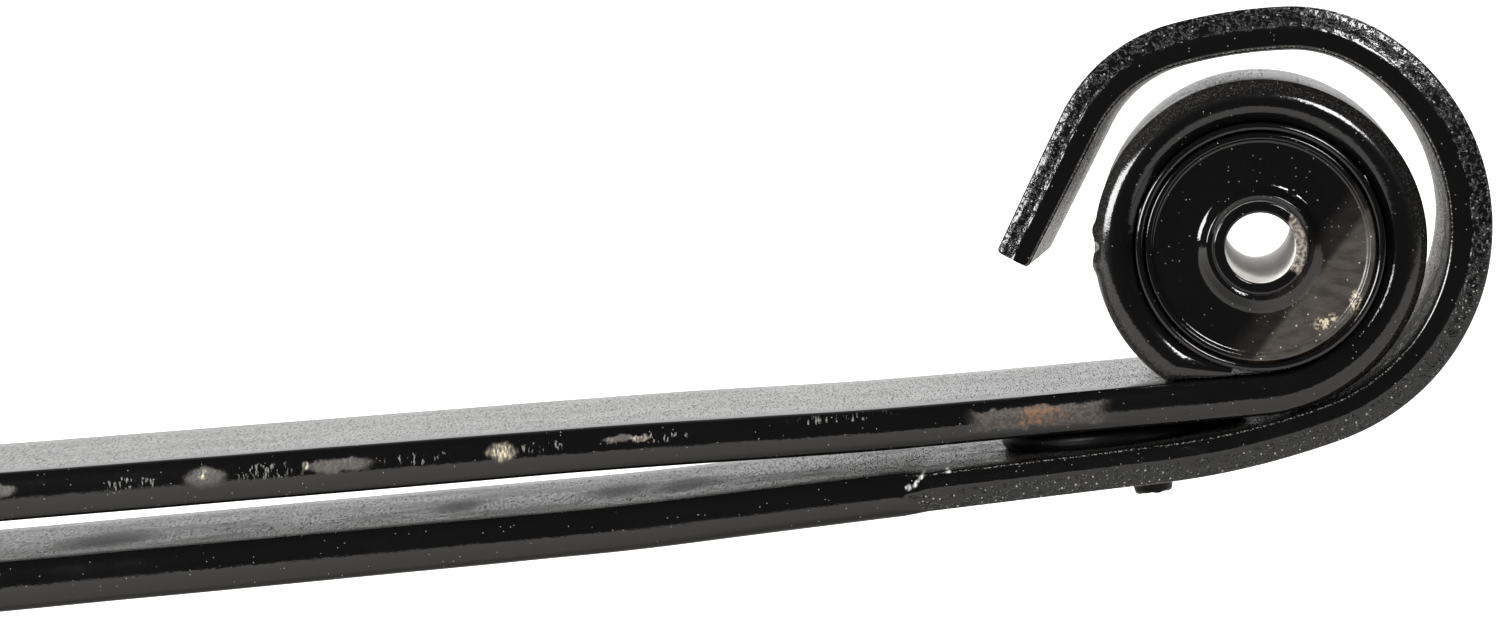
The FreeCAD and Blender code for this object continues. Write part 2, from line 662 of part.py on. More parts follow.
# --------------------------------------------------------------------------- rebound clips
def make_clip(end, sign):
    """A strap riveted under the second leaf, closed over the main leaf by a bolt in a spacer tube."""
    x = mm("clip_reach")
    second_at, rotation = leaf_frame(second_line, x, sign)
    half_leaf = leaf_thickness(SPAN - x, mm("second_tip_thickness")) / 2
    thick, gap = size("strap_thickness"), size("clip_side_gap")
    inside = size("leaf_width") + gap * 2
    outside = inside + thick * 2

    main_z = main_line.at(x)[1] + leaf_thickness(SPAN - x, mm("tip_thickness")) / 2
    leaves_tall = main_z - second_at.z + half_leaf
    bolt_z = thick + leaves_tall + size("clip_top_gap") + size("clip_tube_radius")
    strap_top = bolt_z + size("strap_rise")
    strap_under = -half_leaf - thick.value - mm("rivet_slack") / 2

    def local(point):
        return second_at + rotation.multVec(point + Vector(0, 0, strap_under))

    strap = doc.addObject("PartDesign::Body", f"{end}_clip_strap")
    sketch = body_sketch(strap, "YZ_Plane", f"{end}_clip_strap_outline")
    polygon(sketch, [(NONE, NONE), (outside, NONE), (outside, strap_top), (outside - thick, strap_top),
                     (outside - thick, thick), (thick, thick), (thick, strap_top), (NONE, strap_top)])
    pad = strap.newObject("PartDesign::Pad", f"{end}_clip_strap_pad")
    pad.Profile = sketch
    pad.SideType = "Symmetric"
    bind(pad, Length=size("clip_width"))
    strap.Tip = pad
    doc.recompute()
    pocket_sketch = body_sketch(strap, "XZ_Plane", f"{end}_clip_bolt_holes")
    circle(pocket_sketch, NONE, bolt_z, size("clip_bolt_radius") + size("clip_bolt_clearance"))
    pocket = strap.newObject("PartDesign::Pocket", f"{end}_clip_bolt_pocket")
    pocket.Profile = pocket_sketch
    pocket.Type = "ThroughAll"
    pocket.SideType = "Symmetric"
    rivet_sketch = body_sketch(strap, "XY_Plane", f"{end}_clip_rivet_hole")
    circle(rivet_sketch, NONE, outside / 2, size("rivet_radius"))
    rivet_pocket = strap.newObject("PartDesign::Pocket", f"{end}_clip_rivet_pocket")
    rivet_pocket.Profile = rivet_sketch
    rivet_pocket.Reversed = True
    bind(rivet_pocket, Length=thick)
    doc.recompute()
    bends = strap.newObject("PartDesign::Fillet", f"{end}_clip_strap_bends")
    bends.Base = (rivet_pocket, corner_edges(rivet_pocket.Shape, outside.value))
    bind(bends, Radius=size("clip_bend_radius"))
    strap.Tip = bends
    place(strap, local(Vector(0, -outside.value / 2, 0)), rotation)

    across = rotation.multiply(ALONG_Y)
    wide = inside.value
    tube_blank = cylinder(f"{end}_clip_tube_blank", size("clip_tube_radius"), inside,
                          local(Vector(0, -wide / 2, bolt_z.value)), across)
    bolt_hole = size("clip_bolt_radius") + size("clip_bolt_clearance")
    tube_bore = cylinder(f"{end}_clip_tube_bore", bolt_hole, inside,
                         local(Vector(0, -wide / 2, bolt_z.value)), across)
    tube = cut(f"{end}_clip_spacer_tube", tube_blank, tube_bore)

    head = hexagon(f"{end}_clip_bolt_head", size("clip_flats"), size("clip_head_height"),
                   local(Vector(0, -outside.value / 2 - mm("clip_head_height"), bolt_z.value)), across)
    shank = cylinder(f"{end}_clip_bolt_shank", size("clip_bolt_radius"),
                     outside + size("clip_nut_height") + size("clip_bolt_tail"),
                     local(Vector(0, -outside.value / 2, bolt_z.value)), across)
    bolt = fused(f"{end}_clip_bolt", head, shank)

    nut_at = local(Vector(0, outside.value / 2, bolt_z.value))
    nut_blank = hexagon(f"{end}_clip_nut_blank", size("clip_flats"), size("clip_nut_height"), nut_at, across)
    nut_bore = cylinder(f"{end}_clip_nut_bore", size("clip_bolt_radius"), size("clip_nut_height"), nut_at, across)
    nut = cut(f"{end}_clip_nut", nut_blank, nut_bore)

    shank_length = size("rivet_slack") + 2 * half_leaf + thick
    head_radius, rise = size("rivet_head_radius"), size("rivet_head_height")
    crown, rim = size("rivet_crown_radius"), size("rivet_rim_height")
    shank_radius = size("rivet_radius")
    upper = rise + shank_length
    rivet = turned(f"{end}_clip_rivet", "XZ_Plane", [
        (NONE, NONE), (crown, NONE), (head_radius, rise - rim), (head_radius, rise), (shank_radius, rise),
        (shank_radius, upper), (head_radius, upper), (head_radius, upper + rim), (crown, upper + rise),
        (NONE, upper + rise)], local(Vector(0, 0, -rise.value)), rotation)
    return [strap, tube, bolt, nut, rivet]


def corner_edges(shape, outside):
    """Names of the edges along X at the strap's two outer bottom corners."""
    names = []
    for index, edge in enumerate(shape.Edges, start=1):
        middle = edge.CenterOfMass
        sideways = min(abs(middle.y), abs(middle.y - outside))
        at_corner = max(sideways, abs(middle.z)) < EDGE_TOLERANCE
        if at_corner and edge.BoundBox.XLength > EDGE_TOLERANCE:
            names.append(f"Edge{index}")
    return names


nodes, second_leaf_blank = make_leaves()
nodes += make_seat()
for end, sign in (("front", 1), ("rear", -1)):
    nodes += make_bush(end, sign)
    nodes += make_pad(end, sign, second_leaf_blank)
    nodes += make_clip(end, sign)
doc.recompute()

for thing in doc.Objects:
    bad = {"Invalid", "Error"} & set(thing.State)
    if bad:
        raise RuntimeError(f"{thing.Label}: {bad}")
for node in nodes:
    if node.Shape.isNull() or not node.Shape.isValid():
        raise RuntimeError(f"{node.Label}: bad shape")
    print(f"{node.Label}: {len(node.Shape.Solids)} solid, {node.Shape.Volume / 1000:.1f} cm3")

os.makedirs("parts", exist_ok=True)
for node in nodes:
    node.Shape.exportStep(f"parts/{node.Label}.step")
print(f"eye axis at x {EYE.x:.2f} z {EYE.z:.2f}; flex axes z {flex_point(main_line)[1]:.2f},"
      f" {flex_point(second_line)[1]:.2f}")
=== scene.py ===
"""Looks of the two-leaf parabolic spring with a wrapped front eye, built around its packed design.

Metres, in the design's frame: +X to the front eye, +Y across the leaves, +Z up.
"""
import json
import math

import bmesh
import bpy
import numpy as np
from mathutils import Matrix, Vector, noise


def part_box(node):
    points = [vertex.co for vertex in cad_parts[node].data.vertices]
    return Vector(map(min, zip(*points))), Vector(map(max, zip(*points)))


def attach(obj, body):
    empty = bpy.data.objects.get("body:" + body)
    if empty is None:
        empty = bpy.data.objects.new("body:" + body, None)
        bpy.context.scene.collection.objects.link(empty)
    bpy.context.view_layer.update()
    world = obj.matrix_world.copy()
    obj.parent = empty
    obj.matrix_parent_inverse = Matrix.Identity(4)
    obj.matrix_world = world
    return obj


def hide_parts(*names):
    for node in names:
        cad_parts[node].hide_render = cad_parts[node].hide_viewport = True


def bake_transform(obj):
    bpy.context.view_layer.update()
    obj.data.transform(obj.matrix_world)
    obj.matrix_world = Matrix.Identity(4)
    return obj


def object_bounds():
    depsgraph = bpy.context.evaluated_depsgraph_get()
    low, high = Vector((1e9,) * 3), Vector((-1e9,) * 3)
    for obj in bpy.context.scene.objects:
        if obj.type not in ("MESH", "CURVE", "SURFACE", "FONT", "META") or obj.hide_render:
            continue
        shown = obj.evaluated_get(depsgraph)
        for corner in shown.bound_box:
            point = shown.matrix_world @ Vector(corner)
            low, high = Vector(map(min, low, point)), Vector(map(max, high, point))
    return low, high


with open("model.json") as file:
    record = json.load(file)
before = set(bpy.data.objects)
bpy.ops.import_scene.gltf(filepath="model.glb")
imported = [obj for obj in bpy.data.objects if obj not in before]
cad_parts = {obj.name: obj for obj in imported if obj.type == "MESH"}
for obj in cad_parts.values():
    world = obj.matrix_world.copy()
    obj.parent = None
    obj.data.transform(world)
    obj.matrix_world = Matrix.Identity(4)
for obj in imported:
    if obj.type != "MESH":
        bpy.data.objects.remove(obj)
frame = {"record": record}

CAD_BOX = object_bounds()
MOUNTS = {mount["name"]: mount for mount in frame["record"]["mounts"]}
ENDS = (("front", 1), ("rear", -1))

# --------------------------------------------------------------------------- sizes of the two leaves
EYE = Vector(MOUNTS["front_eye_bore"]["pos_m"])
HALF_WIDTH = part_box("main_leaf_front_arm")[1].y
SEAT_HALF = 0.060
SEAT_THICKNESS = 0.018
MAIN_TIP = 0.012
SECOND_TIP = 0.0124
TAPER_END = 0.060
MAIN_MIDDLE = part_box("main_leaf_seat")[0].z + SEAT_THICKNESS / 2
SECOND_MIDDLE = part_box("second_leaf_seat")[0].z + SEAT_THICKNESS / 2
CAMBER = 0.486
MAIN_SLOPES = (4.55, 3.6, 5.1)
SECOND_SLOPES = (5.35, 7.0)
SLOPE_CHANGE = 0.030
AFTER_CAMBER = 0.154
DIP = 0.045

EYE_INNER = 0.0355
EYE_OUTER = EYE_INNER + MAIN_TIP
EYE_MIDDLE = EYE_INNER + MAIN_TIP / 2
LEAD_RADIUS = 0.0443
LEAD_ANGLE = 60.0
SCARF_REACH = 0.011
SCARF_GAP = 0.0004

SHEAR_START = EYE.x - 0.103
SHEAR_END = EYE.x - 0.096
HOOK_INNER = 0.0055
HOOK_OUTER = 0.0059
HOOK_OUTER_BENT = 0.0067
HOOK_THICKENING = (20, 75, 195, 243)
HOOK_TIP_THINNING = 0.0010
HOOK_NARROWING = 0.0012
HOOK_STRAIGHT = 0.0686
HOOK_BENDS = ((0.216, 20.2), (0.0591, 148.5), (0.043, 182.0), (0.140, 195.0), (0.0425, 243.0))
HOOK_LIMB = 0.042
HOOK_SKEW = 0.0037
PLAIN_OVERHANG = 0.020
PLAIN_CLIP = 0.014

EDGE_POINTS = 25
CORNER_POINTS = 6
FLAT_POINTS = 7
ROLL_DEPTH = 0.0031
EYE_SWELL = 2.1
CORNER = 0.0010
SHEAR_LEAN = 0.0010
BREAK_LEVEL = 0.06
END_ROUNDING = 0.0012
COARSE, FINE, FINEST = 0.006, 0.0015, 0.001

# Unevenness of the forged and painted faces, and how rough the torn part of a sheared side is.
FACE_WAVE, FACE_WAVE_SCALE = 0.00010, 28
SIDE_WAVE, SIDE_WAVE_SCALE = 0.00007, 45
BREAK_RELIEF, BREAK_SCALE = 0.00016, 480
BREAK_ONSET = 6
OUTER_ROUGHNESS, INNER_ROUGHNESS = 0.8, 0.35
EDGE_GRAIN = 0.4
NEAR_SIDE = -0.03
# Lumps and a dent on the near rim of the eye: (x, z) from its axis, radius, height.
LUMPS = ((-0.0475, 0.0048, 0.0026, 0.0007),
         (-0.0475, -0.0003, 0.0017, -0.0016),
         (-0.0475, -0.0054, 0.0028, 0.0007))


# --------------------------------------------------------------------------- middle lines
def advance(station, length, turn):
    """The next station (x, z, heading) after a short straight or curved step; angles in radians."""
    x, z, heading = station
    direction = heading + turn / 2
    return x + length * math.cos(direction), z + length * math.sin(direction), heading + turn


def march(stations, runs):
    """Stations carried on along straight runs and arcs; each run is (length, turn in degrees, spacing)."""
    stations = list(stations)
    for length, turn, spacing in runs:
        steps = max(2, math.ceil(length / spacing))
        for _ in range(steps):
            stations.append(advance(stations[-1], length / steps, math.radians(turn) / steps))
    return stations


def run_to(stations, x, spacing):
    """Stations carried straight on to a place along X."""
    last_x, _, heading = stations[-1]
    return march(stations, [((x - last_x) / math.cos(heading), 0, spacing)])


def main_stations():
    """The main leaf from the centre bolt to the start of its eye."""
    slope, dip, last = MAIN_SLOPES
    stations = march([(0.0, MAIN_MIDDLE, 0.0)], [
        (SEAT_HALF, 0, COARSE), (CAMBER, slope, COARSE), (AFTER_CAMBER, 0, FINE),
        (SLOPE_CHANGE, dip - slope, FINE), (DIP, 0, FINE), (SLOPE_CHANGE, last - dip, FINE)])
    lead_shift = (LEAD_RADIUS - EYE_MIDDLE) * math.sin(math.radians(LEAD_ANGLE))
    return run_to(stations, EYE.x + LEAD_RADIUS * math.sin(math.radians(last)) - lead_shift, FINE)


def second_stations():
    """The second leaf from the centre bolt to its last straight stretch."""
    slope, last = SECOND_SLOPES
    return march([(0.0, SECOND_MIDDLE, 0.0)], [
        (SEAT_HALF, 0, COARSE), (CAMBER, slope, COARSE), (AFTER_CAMBER, 0, FINE),
        (SLOPE_CHANGE, last - slope, FINE)])


def hook_stations(stations):
    """The hook, carried on from the second leaf's last straight stretch."""
    stations = run_to(stations, SHEAR_START, FINE)
    stations = run_to(stations, SHEAR_END, FINEST)
    heading = SECOND_SLOPES[-1]
    runs = [(HOOK_STRAIGHT, 0, FINEST)]
    for radius, angle in HOOK_BENDS:
        runs.append((radius * math.radians(angle - heading), angle - heading, FINEST))
        heading = angle
    runs.append((HOOK_LIMB, 0, FINEST))
    return march(stations, runs)


def half_thickness(x, tip):
    """Parabolic taper: the square of the thickness grows evenly with the distance from the eye."""
    share = np.clip((EYE.x - x - TAPER_END) / (EYE.x - SEAT_HALF - TAPER_END), 0, 1)
    return np.sqrt(tip ** 2 + (SEAT_THICKNESS ** 2 - tip ** 2) * share) / 2


# --------------------------------------------------------------------------- meshes
def mesh_piece(name, points, faces, material, layers=None, sharp=38.0):
    """A smooth-shaded piece whose points also keep their rest place, which the finishes read."""
    mesh = bpy.data.meshes.new(name)
    mesh.from_pydata([tuple(point) for point in points], [], faces)
    shell = bmesh.new()
    shell.from_mesh(mesh)
    bmesh.ops.recalc_face_normals(shell, faces=shell.faces)
    shell.to_mesh(mesh)
    shell.free()
    rest = mesh.attributes.new("rest", "FLOAT_VECTOR", "POINT")
    rest.data.foreach_set("vector", np.asarray(points, np.float32).ravel())
    for label, values in (layers or {}).items():
        layer = mesh.attributes.new(label, "FLOAT", "POINT")
        layer.data.foreach_set("value", np.asarray(values, np.float32).ravel())
    mesh.polygons.foreach_set("use_smooth", [True] * len(mesh.polygons))
    mesh.set_sharp_from_angle(angle=math.radians(sharp))
    mesh.materials.append(material)
    piece = bpy.data.objects.new(name, mesh)
    bpy.context.scene.collection.objects.link(piece)
    return piece


def skin_faces(rings, count, joined=False):
    """Faces of a skin over rings of points, capped at both ends or joined end to end."""
    faces = []
    for i in range(rings if joined else rings - 1):
        j = (i + 1) % rings
        for k in range(count):
            m = (k + 1) % count
            faces.append((i * count + k, i * count + m, j * count + m, j * count + k))
    if not joined:
        faces.append(tuple(range(count - 1, -1, -1)))
        faces.append(tuple((rings - 1) * count + k for k in range(count)))
    return faces


def rolled_edge():
    """A rolled side from the high face to the low one: depths behind its crest, levels from 1 to -1."""
    angle = np.linspace(math.pi / 2, -math.pi / 2, EDGE_POINTS)
    return ROLL_DEPTH * (1 - np.cos(angle)), np.sin(angle)


def sheared_edge():
    """A sheared side: a smooth flat below the high face, then a leaning break down to the low face."""
    quarter = np.linspace(0, math.pi / 2, CORNER_POINTS)
    corner = CORNER / HOOK_INNER
    flat = np.linspace(1 - corner, corner - 1, EDGE_POINTS - 2 * CORNER_POINTS + 2)[1:-1]
    lean = SHEAR_LEAN * np.clip((BREAK_LEVEL - flat) / (BREAK_LEVEL + 1), 0, 1)
    depths = [CORNER * (1 - np.sin(quarter)), lean, SHEAR_LEAN + CORNER * (1 - np.cos(quarter))]
    levels = [1 - corner * (1 - np.cos(quarter)), flat, corner * (1 - np.sin(quarter)) - 1]
    return np.concatenate(depths), np.concatenate(levels)


class Strip:
    """A leaf's middle line with, at each station, its two faces, half width, kind of side and skew."""

    def __init__(self, stations, half):
        self.x, self.z, self.heading = (np.array(v) for v in zip(*stations))
        count = len(stations)
        self.low = -half
        self.high = half.copy()
        self.width = np.full(count, HALF_WIDTH)
        self.sheared = np.zeros(count)
        self.skew = np.zeros(count)
        self.swell = np.ones(count)

    def travelled(self):
        steps = np.hypot(np.diff(self.x), np.diff(self.z))
        return np.concatenate([[0], np.cumsum(steps)])

    def round_over(self):
        """Adds a few short stations that round the strip's last end over."""
        low, high, x, z, heading = (v[-1] for v in (self.low, self.high, self.x, self.z, self.heading))
        for angle in np.linspace(0, math.pi / 2, CORNER_POINTS)[1:]:
            forward = END_ROUNDING * math.sin(angle)
            inset = END_ROUNDING * (1 - math.cos(angle))
            self.x = np.append(self.x, x + forward * math.cos(heading))
            self.z = np.append(self.z, z + forward * math.sin(heading))
            self.heading = np.append(self.heading, heading)
            self.low = np.append(self.low, low + inset)
            self.high = np.append(self.high, high - inset)
            for kept in ("width", "sheared", "skew", "swell"):
                values = getattr(self, kept)
                setattr(self, kept, np.append(values, values[-1]))

    def sections(self):
        """The section at each station: distances across and above the line, side and break masks."""
        roll_depths, roll_levels = rolled_edge()
        shear_depths, shear_levels = sheared_edge()
        mix = self.sheared[:, None]
        half = ((self.high - self.low) / 2)[:, None]
        middle = ((self.high + self.low) / 2)[:, None]
        shallow = np.minimum(1, half / (MAIN_TIP / 2))
        swell = np.where(roll_levels < 0, self.swell[:, None], 1)
        depths = (1 - mix) * roll_depths * shallow * swell + mix * (shear_depths + HOOK_NARROWING)
        levels = (1 - mix) * roll_levels + mix * shear_levels
        side = depths - self.width[:, None]
        share = np.linspace(-1, 1, FLAT_POINTS + 2)[1:-1]
        across = np.hstack([side, -side[:, -1:] * share, -side[:, ::-1], side[:, :1] * share])
        flat = np.ones(FLAT_POINTS)
        level = np.hstack([levels, -flat + 0 * side[:, :1], levels[:, ::-1], flat + 0 * side[:, :1]])
        broken = np.clip((BREAK_LEVEL - levels) * BREAK_ONSET, 0, 1) * mix
        plain = 0 * across[:, :FLAT_POINTS]
        outer, inner = plain + OUTER_ROUGHNESS * mix, plain + INNER_ROUGHNESS * mix
        rough = np.hstack([broken, outer, broken[:, ::-1], inner])
        # The eye's low rounded edge gets some of the broad faces' grain, roughness and pale tint, and that
        # tint is partly painted reflection.
        smooth = 1 - EDGE_GRAIN * np.clip(-levels - 0.1, 0, 1) * (swell - 1)
        sides = np.hstack([smooth, plain, smooth[:, ::-1], plain])
        # Points along the sheared side's corner at the high face, carried as the edge layer, where a pale
        # dotted line is painted: partly painted highlight, partly worn edge.
        corner_highlight = np.where(np.arange(levels.shape[-1]) == CORNER_POINTS // 2, 1.0, 0.0) * mix
        edge = np.hstack([corner_highlight, plain, corner_highlight[:, ::-1], plain])
        above = middle + level * half
        above = above + self.skew[:, None] * (across / (2 * self.width[:, None]) + 0.5)
        return across, above, level, {"side": sides, "rough": rough, "edge": edge}

    def skin(self, name, material, sign=1):
        """The finished piece, slightly uneven as forged and painted steel is."""
        across, above, level, layers = self.sections()
        sides, rough = layers["side"], layers["rough"]
        sine, cosine = np.sin(self.heading)[:, None], np.cos(self.heading)[:, None]
        points = np.stack([self.x[:, None] - above * sine, across, self.z[:, None] + above * cosine], axis=2)
        for i, j in np.ndindex(across.shape):
            place = Vector(points[i, j])
            rise = FACE_WAVE * (noise.noise(place * FACE_WAVE_SCALE) - 1) * level[i, j]
            points[i, j, 0] -= rise * sine[i, 0]
            points[i, j, 2] += rise * cosine[i, 0]
            for x, z, radius, height in LUMPS:
                apart = math.hypot(place.x - EYE.x - x, place.z - EYE.z - z) / radius
                if apart < 1 and place.y < NEAR_SIDE:
                    points[i, j, 0] -= height * (1 - apart ** 2) * level[i, j] * sine[i, 0]
                    points[i, j, 2] += height * (1 - apart ** 2) * level[i, j] * cosine[i, 0]
            if sides[i, j] > 0:
                sunk = SIDE_WAVE * (1 + noise.noise(place * SIDE_WAVE_SCALE))
                if rough[i, j]:
                    sunk += rough[i, j] * BREAK_RELIEF * (1 + noise.noise(place * BREAK_SCALE))
                    sunk += rough[i, j] * BREAK_RELIEF / 2 * (1 + noise.noise(place * BREAK_SCALE * 2.3))
                points[i, j, 1] -= math.copysign(sunk, across[i, j])
        points[:, :, :2] *= sign
        faces = skin_faces(*across.shape)
        return mesh_piece(name, points.reshape(-1, 3), faces, material, layers)


def main_leaf(end, sign, material):
    """Half the main leaf, from the centre bolt to its rolled eye, whose end is scarfed to lie on the leaf."""
    leaf = main_stations()
    last = MAIN_SLOPES[-1]
    lead = march(leaf, [(LEAD_RADIUS * math.radians(LEAD_ANGLE - last), LEAD_ANGLE - last, FINEST)])
    scarf_angle = math.degrees(math.asin(SCARF_REACH / EYE_INNER))
    sweep = 360 + last - scarf_angle - LEAD_ANGLE
    stations = march(lead, [(EYE_MIDDLE * math.radians(sweep), sweep, FINEST)])
    x = np.array([station[0] for station in stations])
    half = half_thickness(x, MAIN_TIP)
    half[len(leaf):] = MAIN_TIP / 2
    strip = Strip(stations, half)
    strip.swell = np.interp(np.arange(len(stations)), (len(leaf), len(lead)), (1, EYE_SWELL))
    tangent = leaf[-1]
    normal = Vector((-math.sin(tangent[2]), 0, math.cos(tangent[2])))
    leaf_top = Vector((tangent[0], 0, tangent[1])) + normal * MAIN_TIP / 2
    depth = (EYE - leaf_top).dot(normal) - SCARF_GAP
    from_bottom = math.radians(360 + last) - strip.heading
    rolled = (np.arange(len(stations)) > len(lead)) & (from_bottom < math.radians(60))
    outer = np.minimum(EYE_OUTER, depth / np.cos(from_bottom[rolled]))
    strip.low[rolled] = EYE_MIDDLE - outer
    return strip.skin(f"main_leaf_{end}", material, sign)


def second_leaf(end, sign, material):
    """Half the second leaf: wrapped round the eye as an open hook in front, plain at the rear."""
    leaf = second_stations()
    if end == "rear":
        stations = run_to(leaf, EYE.x + PLAIN_OVERHANG, FINE * 2)
    else:
        stations = hook_stations(leaf)
    strip = Strip(stations, half_thickness(np.array([station[0] for station in stations]), SECOND_TIP))
    travelled = strip.travelled()
    if end == "rear":
        left = travelled[-1] - travelled
        strip.width -= np.clip(PLAIN_CLIP - left, 0, PLAIN_CLIP)
    else:
        beyond = travelled - travelled[np.searchsorted(strip.x, SHEAR_START)]
        strip.sheared = np.clip(beyond / (SHEAR_END - SHEAR_START), 0, 1)
        turned_up = np.degrees(strip.heading)
        outer = np.interp(turned_up, HOOK_THICKENING,
                          (HOOK_OUTER, HOOK_OUTER_BENT, HOOK_OUTER_BENT, HOOK_OUTER))
        outer -= HOOK_TIP_THINNING * np.clip(1 - (travelled[-1] - travelled) / HOOK_LIMB, 0, 1)
        strip.high += strip.sheared * (HOOK_INNER - strip.high)
        strip.low -= strip.sheared * (outer + strip.low)
        strip.skew = HOOK_SKEW * np.clip(turned_up / 90 - 1, 0, 1)
    strip.round_over()
    return strip.skin(f"second_leaf_{end}", material, sign)


# --------------------------------------------------------------------------- turned and bent pieces
HEX_CROWN, HEX_CHAMFER, HEX_RINGS = 0.96, 30, 9
NUT_LEAD = 0.0006
AXIS = 0.00005


def softened(corners, steps=5):
    """A closed outline of (x, y, reach) corners, each rounded with a curve."""
    outline = []
    count = len(corners)
    for i, (x, y, radius) in enumerate(corners):
        here = Vector((x, y))
        if radius <= 0:
            outline.append(here)
            continue
        before = Vector(corners[i - 1][:2]) - here
        after = Vector(corners[(i + 1) % count][:2]) - here
        half_angle = before.angle(after) / 2
        reach = min(radius / math.tan(half_angle), before.length * 0.49, after.length * 0.49)
        start = here + before.normalized() * reach
        end = here + after.normalized() * reach
        for step in range(steps + 1):
            share = step / steps
            outline.append(start * (1 - share) ** 2 + here * 2 * share * (1 - share) + end * share ** 2)
    return outline


def ring_outline(inner, outer, low, high, inner_edge, outer_edge):
    """The outline of a plain ring with rounded edges."""
    return softened([(inner, low, inner_edge), (outer, low, outer_edge), (outer, high, outer_edge),
                     (inner, high, inner_edge)])


def turned(name, origin, axis, outline, material, sign=1, segments=96, shape=None, **options):
    """A ring turned round an axis from an outline of (radius, height along the axis) points."""
    axis = Vector(axis).normalized()
    spoke_a = axis.orthogonal().normalized()
    spoke_b = axis.cross(spoke_a)
    points = []
    for i in range(segments):
        angle = 2 * math.pi * i / segments
        spoke = spoke_a * math.cos(angle) + spoke_b * math.sin(angle)
        for radius, height in outline:
            if shape:
                radius, height = shape(angle, radius, height)
            points.append(on_side(Vector(origin) + spoke * radius + axis * height, sign))
    faces = skin_faces(segments, len(outline), joined=True)
    return mesh_piece(name, points, faces, material, **options)


def on_side(point, sign):
    """A point of the front end, or its twin at the rear end, half a turn round the centre bolt."""
    return Vector((point.x * sign, point.y * sign, point.z))


def hexagonal(flats, height):
    """Shapes a turned blank into a hexagon whose end corners are chamfered."""
    def shape(angle, radius, level):
        corner_share = abs((angle % (math.pi / 3)) - math.pi / 6)
        side = flats / 2 / math.cos(corner_share)
        crown = flats / 2 * HEX_CROWN + min(level, height - level) / math.tan(math.radians(HEX_CHAMFER))
        return (min(side, crown, radius), level) if radius > flats * 0.4 else (radius, level)
    return shape


def hexagon(name, origin, axis, flats, height, bore, material, sign=1):
    """A nut, or a bolt head where the bore is almost nothing."""
    rings = [(flats, height * i / (HEX_RINGS - 1)) for i in range(HEX_RINGS)]
    inner = [(bore + NUT_LEAD, 0), (bore, NUT_LEAD), (bore, height - NUT_LEAD), (bore + NUT_LEAD, height)]
    return turned(name, origin, axis, inner[::-1] + rings, material, sign, 72, hexagonal(flats, height),
                  sharp=20)


def threaded(radius, low, high, pitch):
    """Outline points of a thread's roots and crests up a bolt's end."""
    points = []
    for i in range(int((high - low) / pitch)):
        root = low + i * pitch
        points += [(radius - pitch * 0.6, root), (radius, root + pitch * 0.45),
                   (radius, root + pitch * 0.6)]
    return [Vector(point) for point in points]


def hidden_bore(outline):
    """Closes an outline near the axis, for a piece with no bore."""
    return [(max(x, AXIS), y) for x, y in outline]


# --------------------------------------------------------------------------- bushes
SLEEVE_WALL, SLEEVE_SLACK, SLEEVE_EDGE = 0.0022, 0.0001, 0.0010
TUBE_RADIUS, BORE, TUBE_EDGE = 0.0133, 0.010, 0.0007
LIP, DISH, RIM_IN, RIM_OUT = 0.0156, 0.0024, 0.0302, 0.0328
MOULD_PIP = (0.0088, 0.0151)
MOULD_WAVE, MOULD_WAVE_SCALE = 0.00003, 60


def bush(end, sign, finishes):
    """Outer sleeve, rubber with dished, rimmed faces, inner tube, and a pip left by the mould."""
    axis = (0, 1, 0)
    sleeve_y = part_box("front_bush_outer_sleeve")[1].y
    tube_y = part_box("front_bush_inner_tube")[1].y
    lip_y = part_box("front_bush_rubber")[1].y
    dish_y = lip_y - DISH
    inner, outer = EYE_INNER - SLEEVE_WALL, EYE_INNER - SLEEVE_SLACK
    sleeve = turned(f"{end}_bush_sleeve", EYE, axis, ring_outline(
        inner, outer, -sleeve_y, sleeve_y, SLEEVE_EDGE, SLEEVE_EDGE), finishes["sleeve_paint"], sign, 160)
    tube = turned(f"{end}_bush_tube", EYE, axis, ring_outline(
        BORE, TUBE_RADIUS, -tube_y, tube_y, TUBE_EDGE, TUBE_EDGE), finishes["tube_steel"], sign, 128)
    half = [(TUBE_RADIUS + 0.0001, lip_y - 0.0004, 0.0004), (LIP - 0.0005, lip_y, 0.0006),
            (LIP + 0.0022, dish_y, 0.0030), (RIM_IN, dish_y - 0.0002, 0.0012),
            (RIM_IN + 0.0008, dish_y + 0.0007, 0.0006), (RIM_OUT - 0.0003, dish_y + 0.0007, 0.0006),
            (RIM_OUT, dish_y - 0.0016, 0.0005), (inner, dish_y - 0.0018, 0.0002)]
    other = [(radius, -y, rounding) for radius, y, rounding in reversed(half)]
    rubber = turned(f"{end}_bush_rubber_body", EYE, axis, softened(half + other),
                    finishes["bush_rubber"], sign, 160, flowing_face)
    across, up = MOULD_PIP
    pip = turned(f"{end}_bush_pip", EYE + Vector((across, -dish_y, up)), (0, -1, 0), softened([
        (AXIS, -0.0004, 0), (0.0017, -0.0004, 0), (0.0015, 0.0004, 0.0004), (0.0004, 0.0006, 0.0004),
        (AXIS, 0.0006, 0)]), finishes["bush_rubber"], sign, 24)
    for piece, node, slot, body in (
            (sleeve, "bush_outer_sleeve", "sleeve_paint", "main_arm"),
            (tube, "bush_inner_tube", "tube_steel", "bush_tube"),
            (rubber, "bush_rubber", "bush_rubber", "main_arm"),
            (pip, "bush_rubber", "bush_rubber", "main_arm")):
        settle(piece, f"{end}_{body}", slot, f"{end}_{node}")


def flowing_face(angle, radius, height):
    """Gives the moulded face its slight waviness."""
    spot = Vector((math.cos(angle), math.sin(angle), height)) * radius * MOULD_WAVE_SCALE
    return radius, height + math.copysign(MOULD_WAVE, height) * (noise.noise(spot) - 0.5)


# --------------------------------------------------------------------------- silencer pads
PAD_RADIUS, PAD_REACH, PAD_GAP, PAD_BULGE = 0.036, 0.040, 0.0006, 0.0022
PAD_SINK, PAD_SEGMENTS = 0.0002, 120
STEM_REACH, STEM_RADIUS, STEM_TOP, STEM_BOTTOM = 0.0327, 0.0067, 0.005, 0.0137
STEM_LUMPS, STEM_SWELL = 0.0009, 0.07


